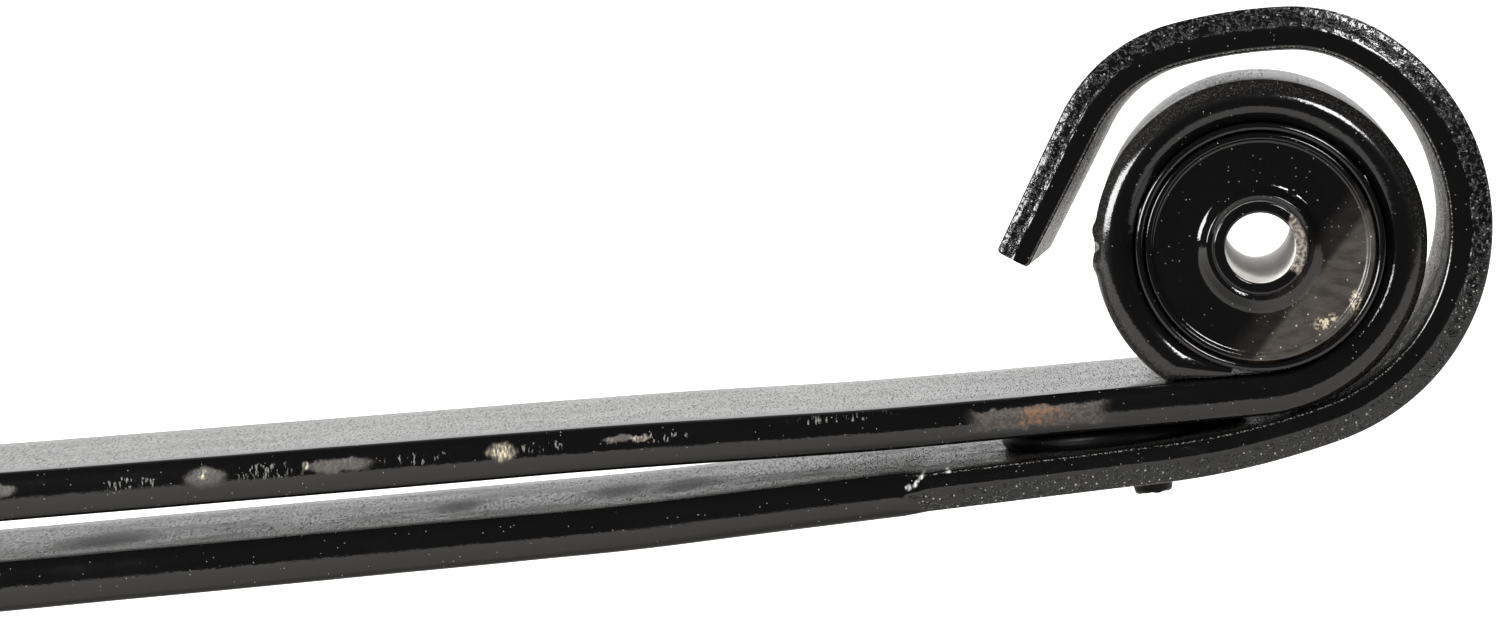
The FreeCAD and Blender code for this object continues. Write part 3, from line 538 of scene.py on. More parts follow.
def station_at(stations, x):
    """The station (x, z, heading) at one X, on the outgoing stretch of a line."""
    following = next(i for i, station in enumerate(stations) if station[0] >= x)
    (x0, z0, h0), (x1, z1, h1) = stations[following - 1], stations[following]
    share = (x - x0) / (x1 - x0)
    return x, z0 + (z1 - z0) * share, h0 + (h1 - h0) * share


def square_to(station):
    """The direction square to a leaf at a station."""
    return Vector((-math.sin(station[2]), 0, math.cos(station[2])))


def silencer_pad(end, sign, second, main, finishes):
    """A soft-rimmed rubber wedge between the leaf ends."""
    centre_x = EYE.x - PAD_REACH
    second_half = HOOK_INNER if end == "front" else SECOND_TIP / 2
    rings = []
    profile = [(-1.0, 0.0), (-1.0, 0.5), (-1.0, 0.9)]
    profile += [(math.sin(a), math.cos(a)) for a in np.linspace(-math.pi / 2, math.pi / 2, 11)]
    profile += [(1.0, 0.9), (1.0, 0.5), (1.0, 0.0)]
    for i in range(PAD_SEGMENTS):
        angle = 2 * math.pi * i / PAD_SEGMENTS
        ring = []
        for k, (level, share) in enumerate(profile):
            on_rim = 2 < k < len(profile) - 3
            radius = PAD_RADIUS - PAD_BULGE * (1 - share) if on_rim else (PAD_RADIUS - PAD_BULGE) * share
            x = centre_x + max(radius, AXIS) * math.cos(angle)
            below, above = station_at(second, x), station_at(main, x)
            low = below[1] + second_half / math.cos(below[2]) - PAD_SINK
            high = above[1] - MAIN_TIP / 2 / math.cos(above[2]) - PAD_GAP
            y = max(radius, AXIS) * math.sin(angle)
            ring.append(on_side(Vector((x, y, (low + high) / 2 + level * (high - low) / 2)), sign))
        rings += ring
    faces = skin_faces(PAD_SEGMENTS, len(profile), joined=True)
    pad = mesh_piece(f"{end}_pad", rings, faces, finishes["pad_rubber"])
    at = station_at(second, EYE.x - STEM_REACH)
    down = -square_to(at)
    root = Vector((at[0], 0, at[1])) + down * STEM_TOP
    drop = STEM_BOTTOM - STEM_TOP
    stem = turned(f"{end}_pad_stem", root, down, hidden_bore(softened([
        (0, 0, 0), (STEM_RADIUS, 0, 0), (STEM_RADIUS, drop - 0.0035, 0.0008),
        (STEM_RADIUS * 0.88, drop - 0.003, 0.0006),
        (STEM_RADIUS * 0.8, drop, 0.0014), (0, drop, 0)])), finishes["pad_rubber"], sign, 48, lumpy)
    for piece in (pad, stem):
        settle(piece, f"{end}_second_arm", "pad_rubber", f"{end}_silencer_pad")


def lumpy(angle, radius, height):
    """Paint runs on a rubber stem, lumpier at its end."""
    spot = Vector((math.cos(angle), math.sin(angle), height * 250)) * 1.6
    at_end = height > (STEM_BOTTOM - STEM_TOP) * 0.7
    lift = STEM_LUMPS * (noise.noise(spot) - 0.5) if at_end else 0
    return radius * (1 + STEM_SWELL * noise.noise(spot * 1.3)), height + lift


# --------------------------------------------------------------------------- seat pieces and centre bolt
BOLT_HEAD, BOLT_SHANK, BOLT_POINT, BOLT_PITCH = 0.012, 0.007, 0.0012, 0.0015
WASHER_BORE = 0.0073
PLATE_CORNER, PLATE_BEVEL = 0.004, 0.0009


def seat(finishes):
    """The plate between the leaves, and the centre bolt with its washer and nut."""
    low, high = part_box("seat_spacer")
    outline = softened([(low.x, low.y, PLATE_CORNER), (high.x, low.y, PLATE_CORNER),
                        (high.x, high.y, PLATE_CORNER), (low.x, high.y, PLATE_CORNER)], 8)
    bevel = PLATE_BEVEL
    centre = Vector(((low.x + high.x) / 2, (low.y + high.y) / 2))
    points = []
    for height, inset in ((low.z, bevel), (low.z + bevel * 0.3, bevel * 0.3), (low.z + bevel, 0),
                          (high.z - bevel, 0), (high.z - bevel * 0.3, bevel * 0.3), (high.z, bevel)):
        for corner in outline:
            inward = corner - (corner - centre).normalized() * inset
            points.append(Vector((inward.x, inward.y, height)))
    plate = mesh_piece("seat_plate", points, skin_faces(6, len(outline)), finishes["spacer_steel"])
    settle(plate, "seat", "spacer_steel", "seat_spacer")

    steel, upright = finishes["bolt_steel"], (0, 0, 1)
    head, shank = BOLT_HEAD, BOLT_SHANK
    low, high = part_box("centre_bolt")
    thread_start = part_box("centre_bolt_nut")[0].z
    bolt = turned("centre_bolt_body", Vector((0, 0, 0)), upright, hidden_bore(
        softened([(0, low.z, 0), (head - 0.0015, low.z, 0.0004), (head, low.z + 0.0015, 0.0004),
                  (head, 0, 0), (shank, 0, 0)])[:-1] + [Vector((shank, 0))]
        + threaded(shank, thread_start, high.z - BOLT_POINT, BOLT_PITCH)
        + [Vector((shank - 0.0014, high.z)), Vector((0, high.z))]), steel, 1, 64, sharp=25)
    settle(bolt, "seat", "bolt_steel", "centre_bolt")
    low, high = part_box("centre_bolt_washer")
    washer = turned("centre_washer", Vector((0, 0, low.z)), upright, softened([
        (WASHER_BORE, 0, 0.0003), (high.x, 0, 0.0006), (high.x, high.z - low.z, 0.0008),
        (WASHER_BORE, high.z - low.z, 0.0003)]), steel, 1, 72)
    settle(washer, "seat", "bolt_steel", "centre_bolt_washer")
    low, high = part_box("centre_bolt_nut")
    nut = hexagon("centre_nut", Vector((0, 0, low.z)), upright, high.y * 2, high.z - low.z, shank, steel)
    settle(nut, "seat", "bolt_steel", "centre_bolt_nut")


# --------------------------------------------------------------------------- rebound clips
CLIP_REACH, STRAP_WIDTH, STRAP_THICKNESS, STRAP_BEND = 0.450, 0.040, 0.006, 0.008
CLIP_BOLT, CLIP_FLATS, CLIP_HEAD, CLIP_NUT, CLIP_TAIL = 0.005, 0.016, 0.0064, 0.008, 0.003
CLIP_TUBE, RIVET_HEAD, RIVET_RISE, RIVET_SLACK = 0.008, 0.009, 0.003, 0.0001
CLIP_PITCH, CLIP_POINT, CLIP_TUBE_SLACK = 0.00125, 0.0008, 0.0002
STRAP_RISE, STRAP_EDGE, STRAP_RING = 0.0134, 0.0012, 28
STRAP_END = 0.008


def clip(end, sign, second, finishes):
    """A strap riveted under the second leaf, closed over the main leaf by a bolt in a spacer tube."""
    at = station_at(second, CLIP_REACH)
    up = square_to(at)
    along = Vector((up.z, 0, -up.x))
    half_leaf = float(half_thickness(at[0], SECOND_TIP))
    origin = Vector((at[0], 0, at[1])) - up * (half_leaf + STRAP_THICKNESS + RIVET_SLACK / 2)
    low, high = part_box("front_clip_spacer_tube")
    bolt_rise = ((low + high) / 2 - origin).dot(up)
    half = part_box("front_clip_strap")[1].y
    top = bolt_rise + STRAP_RISE

    inset = STRAP_THICKNESS / 2
    path = softened([(-half + inset, top, 0), (-half + inset, inset, STRAP_BEND - inset),
                     (half - inset, inset, STRAP_BEND - inset), (half - inset, top, 0)], 8)
    points = strap_points(path, origin, along, up, sign)
    strap = mesh_piece(f"{end}_clip_bow", points, skin_faces(len(points) // STRAP_RING, STRAP_RING),
                       finishes["clip_paint"])
    centre = origin + up * bolt_rise
    y = Vector((0, 1, 0))
    steel = finishes["clip_fasteners"]
    tube = turned(f"{end}_clip_tube", centre - y * high.y, y, ring_outline(
        CLIP_BOLT + CLIP_TUBE_SLACK, CLIP_TUBE, 0, 2 * high.y, 0.0004, 0.0006), steel, sign, 64)
    head = hexagon(f"{end}_clip_bolt_hex", centre - y * half, -y, CLIP_FLATS, CLIP_HEAD, AXIS + 0.0004,
                   steel, sign)
    tail = half + CLIP_NUT + CLIP_TAIL
    shank = turned(f"{end}_clip_bolt_shank", centre, y, hidden_bore(
        [Vector((0, -half)), Vector((CLIP_BOLT, -half)), Vector((CLIP_BOLT, half))]
        + threaded(CLIP_BOLT, half, tail - CLIP_POINT, CLIP_PITCH)
        + [Vector((CLIP_BOLT - 0.0011, tail)), Vector((0, tail))]), steel, sign, 48, sharp=25)
    nut = hexagon(f"{end}_clip_hex_nut", centre + y * half, y, CLIP_FLATS, CLIP_NUT, CLIP_BOLT, steel, sign)
    rivet_top = STRAP_THICKNESS + RIVET_SLACK + 2 * half_leaf
    rivet = turned(f"{end}_clip_rivet_body", origin, up, hidden_bore(
        dome(RIVET_HEAD, -RIVET_RISE, 0) + dome(RIVET_HEAD, rivet_top + RIVET_RISE, rivet_top)[::-1]),
        finishes["clip_paint"], sign, 48)
    for piece, node, slot in ((strap, "strap", "clip_paint"), (tube, "spacer_tube", "clip_fasteners"),
                              (head, "bolt", "clip_fasteners"), (shank, "bolt", "clip_fasteners"),
                              (nut, "nut", "clip_fasteners"), (rivet, "rivet", "clip_paint")):
        settle(piece, f"{end}_second_arm", slot, f"{end}_clip_{node}")


def dome(radius, crown, rim):
    """Outline of a rivet's domed head, from its crown on the axis to the shank."""
    points = []
    for angle in np.linspace(0, math.pi / 2, 9):
        points.append(Vector((radius * math.sin(angle), rim + (crown - rim) * math.cos(angle))))
    return points + [Vector((0.005, rim))]


def strap_points(path, origin, along, up, sign):
    """Rounded bar sections along the clip's bent path."""
    half_width, half_depth = STRAP_WIDTH / 2, STRAP_THICKNESS / 2
    bar = softened([(-half_width, -half_depth, STRAP_EDGE), (half_width, -half_depth, STRAP_EDGE),
                    (half_width, half_depth, STRAP_EDGE), (-half_width, half_depth, STRAP_EDGE)], 6)
    near_end = (0, 0.004, 0.012, 0.03, 0.06, 0.1, 0.5)
    route = [path[0] + (path[1] - path[0]) * share for share in near_end]
    route += list(path[1:-1])
    route += [path[-1] + (path[-2] - path[-1]) * share for share in reversed(near_end)]
    points = []
    total = len(route)
    for i, spot in enumerate(route):
        ahead = route[min(i + 1, total - 1)] - route[max(i - 1, 0)]
        ahead.normalize()
        outward = Vector((ahead.y, -ahead.x))
        left = min((spot - route[0]).length, (spot - route[-1]).length)
        narrow = strap_narrowing(left)
        for width, depth in bar:
            pinch = 1 - narrow * 2 / STRAP_WIDTH
            place = spot + outward * depth
            reached = origin + along * width * pinch + Vector((0, place.x, 0)) + up * place.y
            points.append(on_side(reached, sign))
    return points


def strap_narrowing(left):
    """How much each side of the strap draws in near its rounded end."""
    if left >= STRAP_END:
        return 0.0
    return STRAP_END - math.sqrt(max(STRAP_END ** 2 - (STRAP_END - left) ** 2, 0))


# --------------------------------------------------------------------------- finishes
BLACK = (0.0035, 0.0034, 0.0036, 1)
# Pale dust; it also paints reflection on the broad faces and a highlight along the sheared corner.
PALE_DUST_AND_SHEEN = (0.30, 0.285, 0.26, 1)
# Colour of the painted glints on the torn part of a sheared side.
PAINTED_GLINT = (0.24, 0.235, 0.225, 1)
SCALE_DARK = (0.030, 0.027, 0.024, 1)
SCALE_PALE = (0.060, 0.052, 0.042, 1)
BRASSY = (0.62, 0.52, 0.36, 1)
SCRATCHED = (0.12, 0.115, 0.105, 1)
# White of the painted highlight at the shear step.
STEP_HIGHLIGHT_WHITE = (0.80, 0.80, 0.79, 1)
PEELED_DARK, PEELED_PALE = (0.018, 0.014, 0.011, 1), (0.052, 0.042, 0.033, 1)
RUST = (0.15, 0.066, 0.021, 1)
LOWER_FACE_TINT, GRIT = (0.052, 0.045, 0.038, 1), (0.42, 0.36, 0.26, 1)
BORE_DARK, BORE_PALE = (0.70, 0.68, 0.65, 1), (0.86, 0.85, 0.83, 1)
BORE_SPECK = (0.16, 0.14, 0.12, 1)
WORN_DARK, WORN_PALE, GOLDEN = (0.035, 0.030, 0.026, 1), (0.27, 0.235, 0.19, 1), (0.80, 0.56, 0.25, 1)
STEEL_DARK, STEEL_PALE = (0.20, 0.19, 0.175, 1), (0.42, 0.41, 0.39, 1)

# Spots, measured from the eye's axis: (x, z, half length, half height, slope).
SCALE_CHIPS = ((-0.3067, -0.0660, 0.0058, 0.0029, 4.6), (-0.2672, -0.0625, 0.0095, 0.0021, 4.6),
               (-0.3690, -0.0701, 0.0050, 0.0020, 4.6), (-0.1850, -0.0548, 0.0045, 0.0010, 4.6))
BRASSY_CHIPS = ((-0.2190, -0.0585, 0.0044, 0.0025, 4.6), (-0.1790, -0.0546, 0.0030, 0.0008, 4.6),
                (-0.2770, -0.0629, 0.0014, 0.0014, 0), (-0.3068, -0.0655, 0.0016, 0.0012, 0))
SCRATCHES = ((-0.2890, -0.0640, 0.0095, 0.0024, 4.6), (-0.2440, -0.0605, 0.0110, 0.0018, 4.6),
             (-0.2080, -0.0570, 0.0080, 0.0016, 4.6), (-0.1780, -0.0546, 0.0150, 0.0016, 4.6),
             (-0.3300, -0.0680, 0.0100, 0.0020, 4.6), (-0.1200, -0.0490, 0.0160, 0.0014, 4.0))
PEELED = ((-0.0632, -0.0485, 0.0188, 0.0030, 4.6),)
RUSTED = ((-0.0625, -0.0472, 0.0060, 0.0020, 4.6), (-0.0650, -0.0500, 0.0040, 0.0008, 4.6))
# White marks where the second leaf's side turns sheared: painted highlight.
SHEAR_STEP_HIGHLIGHTS = ((-0.0990, -0.0678, 0.0016, 0.0009, 30), (-0.0972, -0.0662, 0.0014, 0.0008, 60),
            (-0.0900, -0.0642, 0.0008, 0.0005, 7), (-0.1010, -0.0690, 0.0007, 0.0009, 0))
GRITTY = ((0.0185, -0.0215, 0.0036, 0.0020, 20), (0.0268, -0.0160, 0.0015, 0.0040, 0))
TUBE_CHIPS = ((0.0117, 0.0025, 0.0042, 0.0115, 0),)
TUBE_GOLD = ((0.0140, 0.0040, 0.0012, 0.0052, 0),)
# Stains on the second leaf's upper face, where the second number is y.
STAINS = ((-0.345, -0.010, 0.017, 0.020, 0), (-0.238, -0.005, 0.008, 0.015, 0),
          (-0.190, -0.002, 0.011, 0.018, 0), (-0.170, -0.006, 0.010, 0.017, 0))


class Finish:
    """One material, whose colour and roughness are built up in layers, with short names for its nodes."""

    def __init__(self, name, **fixed):
        self.material = bpy.data.materials.new(name)
        self.material.use_nodes = True
        self.tree = self.material.node_tree
        self.shader = self.tree.nodes["Principled BSDF"]
        for socket, value in fixed.items():
            self.shader.inputs[socket].default_value = value
        self.place = self.attribute("rest", "Vector")
        self.normal = None
        self.colour = None
        self.roughness = None

    def node(self, kind, inputs=None, **settings):
        """A new node; its inputs are linked from sockets or set to values."""
        node = self.tree.nodes.new(kind)
        for key, value in settings.items():
            setattr(node, key, value)
        for socket, value in (inputs or {}).items():
            if isinstance(value, bpy.types.NodeSocket):
                self.tree.links.new(value, node.inputs[socket])
            elif value is not None:
                node.inputs[socket].default_value = value
        return node

    def attribute(self, name, output="Fac"):
        return self.node("ShaderNodeAttribute", attribute_name=name).outputs[output]

    def math(self, operation, first, second=0.0):
        return self.node("ShaderNodeMath", {0: first, 1: second}, operation=operation).outputs[0]

    def times(self, *values):
        product = values[0]
        for value in values[1:]:
            product = self.math("MULTIPLY", product, value)
        return product

    def vector(self, operation, first, second=None, output=0, **inputs):
        inputs.update({0: first, 1: second})
        return self.node("ShaderNodeVectorMath", inputs, operation=operation).outputs[output]

    def split(self, vector):
        return self.node("ShaderNodeSeparateXYZ", {0: vector}).outputs

    def noise(self, scale, detail=2.0, output=0):
        """Noise with one scale, or with its own scale along each axis."""
        place = self.place
        if isinstance(scale, tuple):
            place = self.node("ShaderNodeMapping", {"Vector": place, "Scale": scale}).outputs[0]
            scale = 1
        inputs = {"Vector": place, "Scale": scale, "Detail": detail}
        return self.node("ShaderNodeTexNoise", inputs).outputs[output]

    def ramp(self, value, low, high, to_low=0.0, to_high=1.0):
        """A smooth change of a value from one range to another."""
        return self.node("ShaderNodeMapRange", {0: value, 1: low, 2: high, 3: to_low, 4: to_high},
                         interpolation_type="SMOOTHSTEP").outputs[0]

    def patchy(self, scale, detail, *ranges):
        """Noise, ramped from one range to another."""
        return self.ramp(self.noise(scale, detail), *ranges)

    def mix(self, share, first, second):
        return self.node("ShaderNodeMix", {0: share, 6: first, 7: second}, data_type="RGBA").outputs[2]

    def between(self, share, first, second):
        return self.node("ShaderNodeMix", {0: share, 2: first, 3: second}, data_type="FLOAT").outputs[0]

    def bump(self, height, distance):
        inputs = {"Height": height, "Distance": distance, "Strength": 1.0, "Normal": self.normal}
        self.normal = self.node("ShaderNodeBump", inputs).outputs[0]

    def tint(self, share, colour):
        self.colour = self.mix(share, self.colour, colour)

    def dull(self, share, roughness):
        self.roughness = self.between(share, self.roughness, roughness)

    def cover(self, share, colour, roughness):
        self.tint(share, colour)
        self.dull(share, roughness)

    def done(self):
        layers = {"Base Color": self.colour, "Roughness": self.roughness, "Normal": self.normal}
        for socket, value in layers.items():
            self.tree.links.new(value, self.shader.inputs[socket])
        return self.material

    def specks(self, scale, size, share):
        """Tiny separate specks: 1 inside, 0 outside."""
        cells = self.node("ShaderNodeTexVoronoi", {"Vector": self.place, "Scale": scale}).outputs
        chance = self.node("ShaderNodeSeparateColor", {0: cells["Color"]}).outputs[0]
        inside = self.math("LESS_THAN", cells["Distance"], size)
        return self.times(inside, self.math("LESS_THAN", chance, share))

    def near(self, spots, ragged=0.0035, flat=False, square=False):
        """Distance from the nearest of some spots, 1 at its rim; flat ones lie on the upper face."""
        shake = self.vector("SUBTRACT", self.noise(300, 3, "Color"), (0.5, 0.5, 0.5))
        shaken = self.vector("ADD", self.place, self.vector("SCALE", shake, Scale=ragged))
        nearest = 10.0
        for x, other, length, width, slope in spots:
            local = self.node("ShaderNodeMapping", {
                "Vector": shaken,
                "Location": (EYE.x + x, other, 0) if flat else (EYE.x + x, 0, EYE.z + other),
                "Rotation": (0, 0, math.radians(slope)) if flat else (0, -math.radians(slope), 0),
                "Scale": (length, width, 1000) if flat else (length, 1000, width)},
                vector_type="TEXTURE").outputs[0]
            distance = self.vector("LENGTH", local, output="Value")
            if square:
                parts = self.split(self.vector("ABSOLUTE", local))
                distance = self.math("MAXIMUM", parts[0], parts[2])
            nearest = self.math("MINIMUM", nearest, distance)
        if flat:
            return nearest
        far_side = self.math("GREATER_THAN", self.split(self.place)[1], NEAR_SIDE)
        return self.math("ADD", nearest, self.times(far_side, 10.0))

    def gloss_black(self, roughness=(0.05, 0.13), specks=0.10):
        """Gloss black over uneven steel: orange peel, drifting gloss and dust caught in the paint."""
        self.colour, self.roughness = BLACK, self.patchy(34, 3, 0.3, 0.7, *roughness)
        self.bump(self.noise(150, 2), 0.00010)
        self.bump(self.noise(620, 1.5), 0.000022)
        self.bump(self.noise(1900, 1), 0.000018)
        self.cover(self.specks(1000, 0.13, specks), PALE_DUST_AND_SHEEN, 0.7)

    def grainy_faces(self, faces, stains, most_dust_and_sheen, gloss):
        """The leaves' broad faces: scaled steel under thin paint, grained across, stained, with a pale tint
        that is partly real dust and partly painted reflection.
        """
        grain = self.noise((3000, 280, 3000), 3)
        self.bump(self.times(grain, faces), 0.00012)
        drift = self.patchy((28, 60, 28), 3, 0.35, 0.7, *gloss)
        # Pale tint on the broad faces: partly real dust, partly painted reflection that lightens the faces
        # seen at a grazing angle.
        dust_and_sheen_share = self.patchy((2000, 190, 2000), 2, 0.42, 0.70, 0.05, most_dust_and_sheen)
        if stains:
            stained = self.ramp(self.near(stains, 0.007, flat=True), 1.3, 0.25, 0, 0.55)
            drift = self.between(stained, drift, 0.50)
            dust_and_sheen_share = self.between(stained, dust_and_sheen_share, 0.0)
        self.tint(self.times(faces, dust_and_sheen_share), PALE_DUST_AND_SHEEN)
        self.dull(faces, self.between(self.ramp(grain, 0.50, 0.66), drift, 0.55))

    def sheared_zone(self):
        """The torn part of a sheared side: coarse and fine grain under glossy paint, with painted glints as
        pale specks and a painted highlight along its corner.
        """
        ragged = self.math("ADD", self.attribute("rough"), self.patchy(260, 3, 0.2, 0.8, -0.35, 0.35))
        rough = self.ramp(ragged, 0.36, 0.75)
        self.bump(self.times(self.patchy(800, 2.5, 0.50, 0.64), rough), 0.00030)
        self.bump(self.times(self.noise(2200, 1), rough), 0.00005)
        # Pale dotted line along the sheared corner: partly painted highlight, partly worn edge.
        self.tint(self.times(self.attribute("edge"), self.patchy(1700, 3, 0.50, 0.60), 0.7), PALE_DUST_AND_SHEEN)
        # Pale specks on the torn part: painted glints.
        self.tint(self.times(rough, self.specks(1000, 0.26, 0.17)), PAINTED_GLINT)
        self.dull(rough, 0.12)

    def scale_chips(self, spots, pale, gloss):
        """Places where the paint is gone and mill scale shows; on the second leaf the same marks paint a
        white highlight at the shear step.
        """
        distance = self.near(spots)
        mask = self.ramp(distance, 1.30, 0.65)
        mottle = self.patchy((1500, 500, 700), 4, 0.36, 0.72)
        brightest = self.ramp(distance, 1.0, 0.1, 0.35, 1.0)
        self.cover(mask, self.mix(self.times(mottle, brightest), SCALE_DARK, pale), gloss)
        self.bump(self.times(mask, self.noise(900, 3)), 0.00020)
        self.bump(mask, -0.00008)

    def scratches(self, spots):
        """Short upright marks in the paint."""
        zone = self.ramp(self.near(spots), 1.1, 0.5)
        mask = self.times(zone, self.patchy((1300, 300, 380), 3, 0.57, 0.68))
        self.bump(mask, 0.00010)
        self.cover(mask, SCRATCHED, 0.45)

    def peeled_patch(self, patch, rusted):
        """A patch where the paint has peeled off down to dull, partly rusty steel."""
        mask = self.ramp(self.near(patch, 0.0036, square=True), 1.18, 0.80)
        skin = self.mix(self.patchy(1100, 4, 0.36, 0.68), PEELED_DARK, PEELED_PALE)
        rusty = self.times(self.ramp(self.near(rusted), 1.6, 0.2), self.patchy(700, 4, 0.36, 0.58), 0.8)
        self.bump(self.times(mask, self.noise(900, 4)), 0.00022)
        self.bump(mask, -0.00012)
        self.cover(mask, self.mix(rusty, skin, RUST), 0.48)


def leaf_paint(name, stains=(), damage=False, most_dust_and_sheen=0.35, gloss=(0.13, 0.19)):
    """Leaf paint: grainy satin on the broad faces, glossy on the sides, rough where a side is sheared."""
    finish = Finish(name)
    finish.gloss_black()
    finish.grainy_faces(finish.math("SUBTRACT", 1.0, finish.attribute("side")), stains, most_dust_and_sheen, gloss)
    finish.sheared_zone()
    if damage:
        finish.scale_chips(SCALE_CHIPS, SCALE_PALE, 0.5)
        finish.scale_chips(BRASSY_CHIPS, BRASSY, 0.4)
        finish.scratches(SCRATCHES)
        finish.peeled_patch(PEELED, RUSTED)
    else:
        # The white marks at the shear step: painted highlight.
        finish.scale_chips(SHEAR_STEP_HIGHLIGHTS, STEP_HIGHLIGHT_WHITE, 0.3)
    return finish.done()


def black_paint(name, roughness=(0.10, 0.22), specks=0.06, **fixed):
    finish = Finish(name, **fixed)
    finish.gloss_black(roughness, specks)
    return finish.done()


def plated_steel(name, dark, pale):
    """Dull plated or forged steel with darker stains."""
    finish = Finish(name, Metallic=1.0)
    finish.bump(finish.noise(900, 2), 0.00004)
    finish.colour = finish.mix(finish.patchy(160, 4, 0.35, 0.7), dark, pale)
    finish.roughness = finish.patchy(300, 3, 0.3, 0.7, 0.32, 0.55)
    return finish.done()


def rubber_face(name):
    """Overpainted rubber, lighter and browner low on the outboard side of its face, with gritty bare specks
    there.
    """
    finish = Finish(name)
    finish.gloss_black((0.04, 0.10), 0.16)
    x, y, z = finish.split(finish.vector("SUBTRACT", finish.place, tuple(EYE)))
    chord = finish.math("SUBTRACT", finish.times(x, 0.795), finish.times(z, 0.607))
    front = finish.math("LESS_THAN", y, 0)
    # The face grows lighter and browner towards its lower outboard side.
    fainter_band, stronger_band = finish.ramp(chord, 0.009, 0.014, 0, 0.20), finish.ramp(chord, 0.0165, 0.0190, 0, 0.60)
    patchiness = finish.patchy((150, 300, 420), 4, 0.25, 0.7, 0.55, 1.0)
    lower_tint = finish.times(finish.math("ADD", fainter_band, stronger_band), patchiness, front)
    finish.tint(lower_tint, LOWER_FACE_TINT)
    bare = finish.times(finish.ramp(finish.near(GRITTY, 0.004), 1.2, 0.4), finish.patchy(1300, 3, 0.45, 0.56))
    flecks = finish.times(lower_tint, finish.specks(900, 0.20, 0.12), 1.4)
    finish.tint(finish.math("MAXIMUM", bare, flecks), GRIT)
    finish.bump(finish.times(lower_tint, finish.noise(1100, 3)), 0.00005)
    finish.dull(lower_tint, 0.40)
    return finish.done()


def tube_finish(name):
    """Pale machined bore, painted ends, with bare metal chipped free on one side of the front end."""
    finish = Finish(name)
    finish.gloss_black((0.08, 0.18), 0.1)
    worn = finish.mix(finish.patchy(900, 3, 0.38, 0.66), WORN_DARK, WORN_PALE)
    gold = finish.times(finish.ramp(finish.near(TUBE_GOLD, 0.003), 1.2, 0.5), finish.patchy(800, 2, 0.4, 0.5))
    chips = finish.ramp(finish.near(TUBE_CHIPS, 0.003), 1.05, 0.85)
    finish.cover(chips, finish.mix(gold, worn, GOLDEN), 0.42)
    bore = finish.mix(finish.patchy(260, 4, 0.3, 0.7), BORE_DARK, BORE_PALE)
    bore = finish.mix(finish.specks(420, 0.16, 0.06), bore, BORE_SPECK)
    bare = finish.ramp(finish.split(finish.vector("ABSOLUTE", finish.place))[1], 0.0490, 0.0496, 1.0, 0.0)
    finish.cover(bare, bore, 0.5)
    finish.bump(finish.times(chips, finish.noise(900, 3)), 0.00012)
    return finish.done()


def make_finishes():
    """Every material, by the name of its slot in the record."""
    return {
        "main_leaf_paint": leaf_paint("main_leaf_paint", damage=True),
        # The second leaf gets less of the pale tint than the main leaf, which darkens its faces: painted
        # shade where it lies under the main leaf.
        "second_leaf_paint": leaf_paint("second_leaf_paint", STAINS, most_dust_and_sheen=0.16, gloss=(0.22, 0.30)),
        "spacer_steel": black_paint("spacer_steel", (0.3, 0.5)),
        "bolt_steel": plated_steel("bolt_steel", STEEL_DARK, STEEL_PALE),
        "sleeve_paint": black_paint("sleeve_paint", (0.06, 0.12)),
        "bush_rubber": rubber_face("bush_rubber"),
        "tube_steel": tube_finish("tube_steel"),
        "pad_rubber": black_paint("pad_rubber", (0.25, 0.40), **{"Specular IOR Level": 0.12}),
        "clip_paint": black_paint("clip_paint"),
        "clip_fasteners": black_paint("clip_fasteners", (0.2, 0.4)),
    }


# --------------------------------------------------------------------------- studio
CAMERA_FROM_EYE = Vector((-0.014957, -1.356574, 0.101834))
CAMERA_YAW, CAMERA_PITCH, CAMERA_ROLL = (math.radians(angle) for angle in (5.708, 5.163, -0.763))
CAMERA_LENS = 110.35
ROOM_DARK, PALE = 0.012, 1.0
FLOOR_DROP, FLOOR_FRONT, FLOOR_REACH = 0.065, 0.78, 60
FLOOR_COLOUR = (0.56, 0.545, 0.52, 1)


def make_camera():
    data = bpy.data.cameras.new("camera")
    data.lens = CAMERA_LENS
    data.sensor_width = 36
    data.clip_end = 200
    camera = bpy.data.objects.new("camera", data)
    level_reach = math.cos(CAMERA_PITCH)
    forward = Vector((-math.sin(CAMERA_YAW) * level_reach, math.cos(CAMERA_YAW) * level_reach,
                      -math.sin(CAMERA_PITCH)))
    level = forward.cross(Vector((0, 0, 1))).normalized()
    upright = level.cross(forward)
    right = level * math.cos(CAMERA_ROLL) + upright * math.sin(CAMERA_ROLL)
    up = upright * math.cos(CAMERA_ROLL) - level * math.sin(CAMERA_ROLL)
    turn = Matrix((right, up, -forward)).transposed().to_4x4()
    camera.matrix_world = Matrix.Translation(EYE + CAMERA_FROM_EYE) @ turn
    bpy.context.scene.collection.objects.link(camera)
    bpy.context.scene.camera = camera


def light(name, kind, position, target, energy):
    """A light aimed at a target; its own data is given back for the rest of its settings."""
    data = bpy.data.lights.new(name, kind)
    data.energy = energy
    lamp = bpy.data.objects.new(name, data)
    lamp.location = position
    lamp.rotation_euler = (Vector(target) - Vector(position)).to_track_quat("-Z", "Y").to_euler()
    bpy.context.scene.collection.objects.link(lamp)
    return data


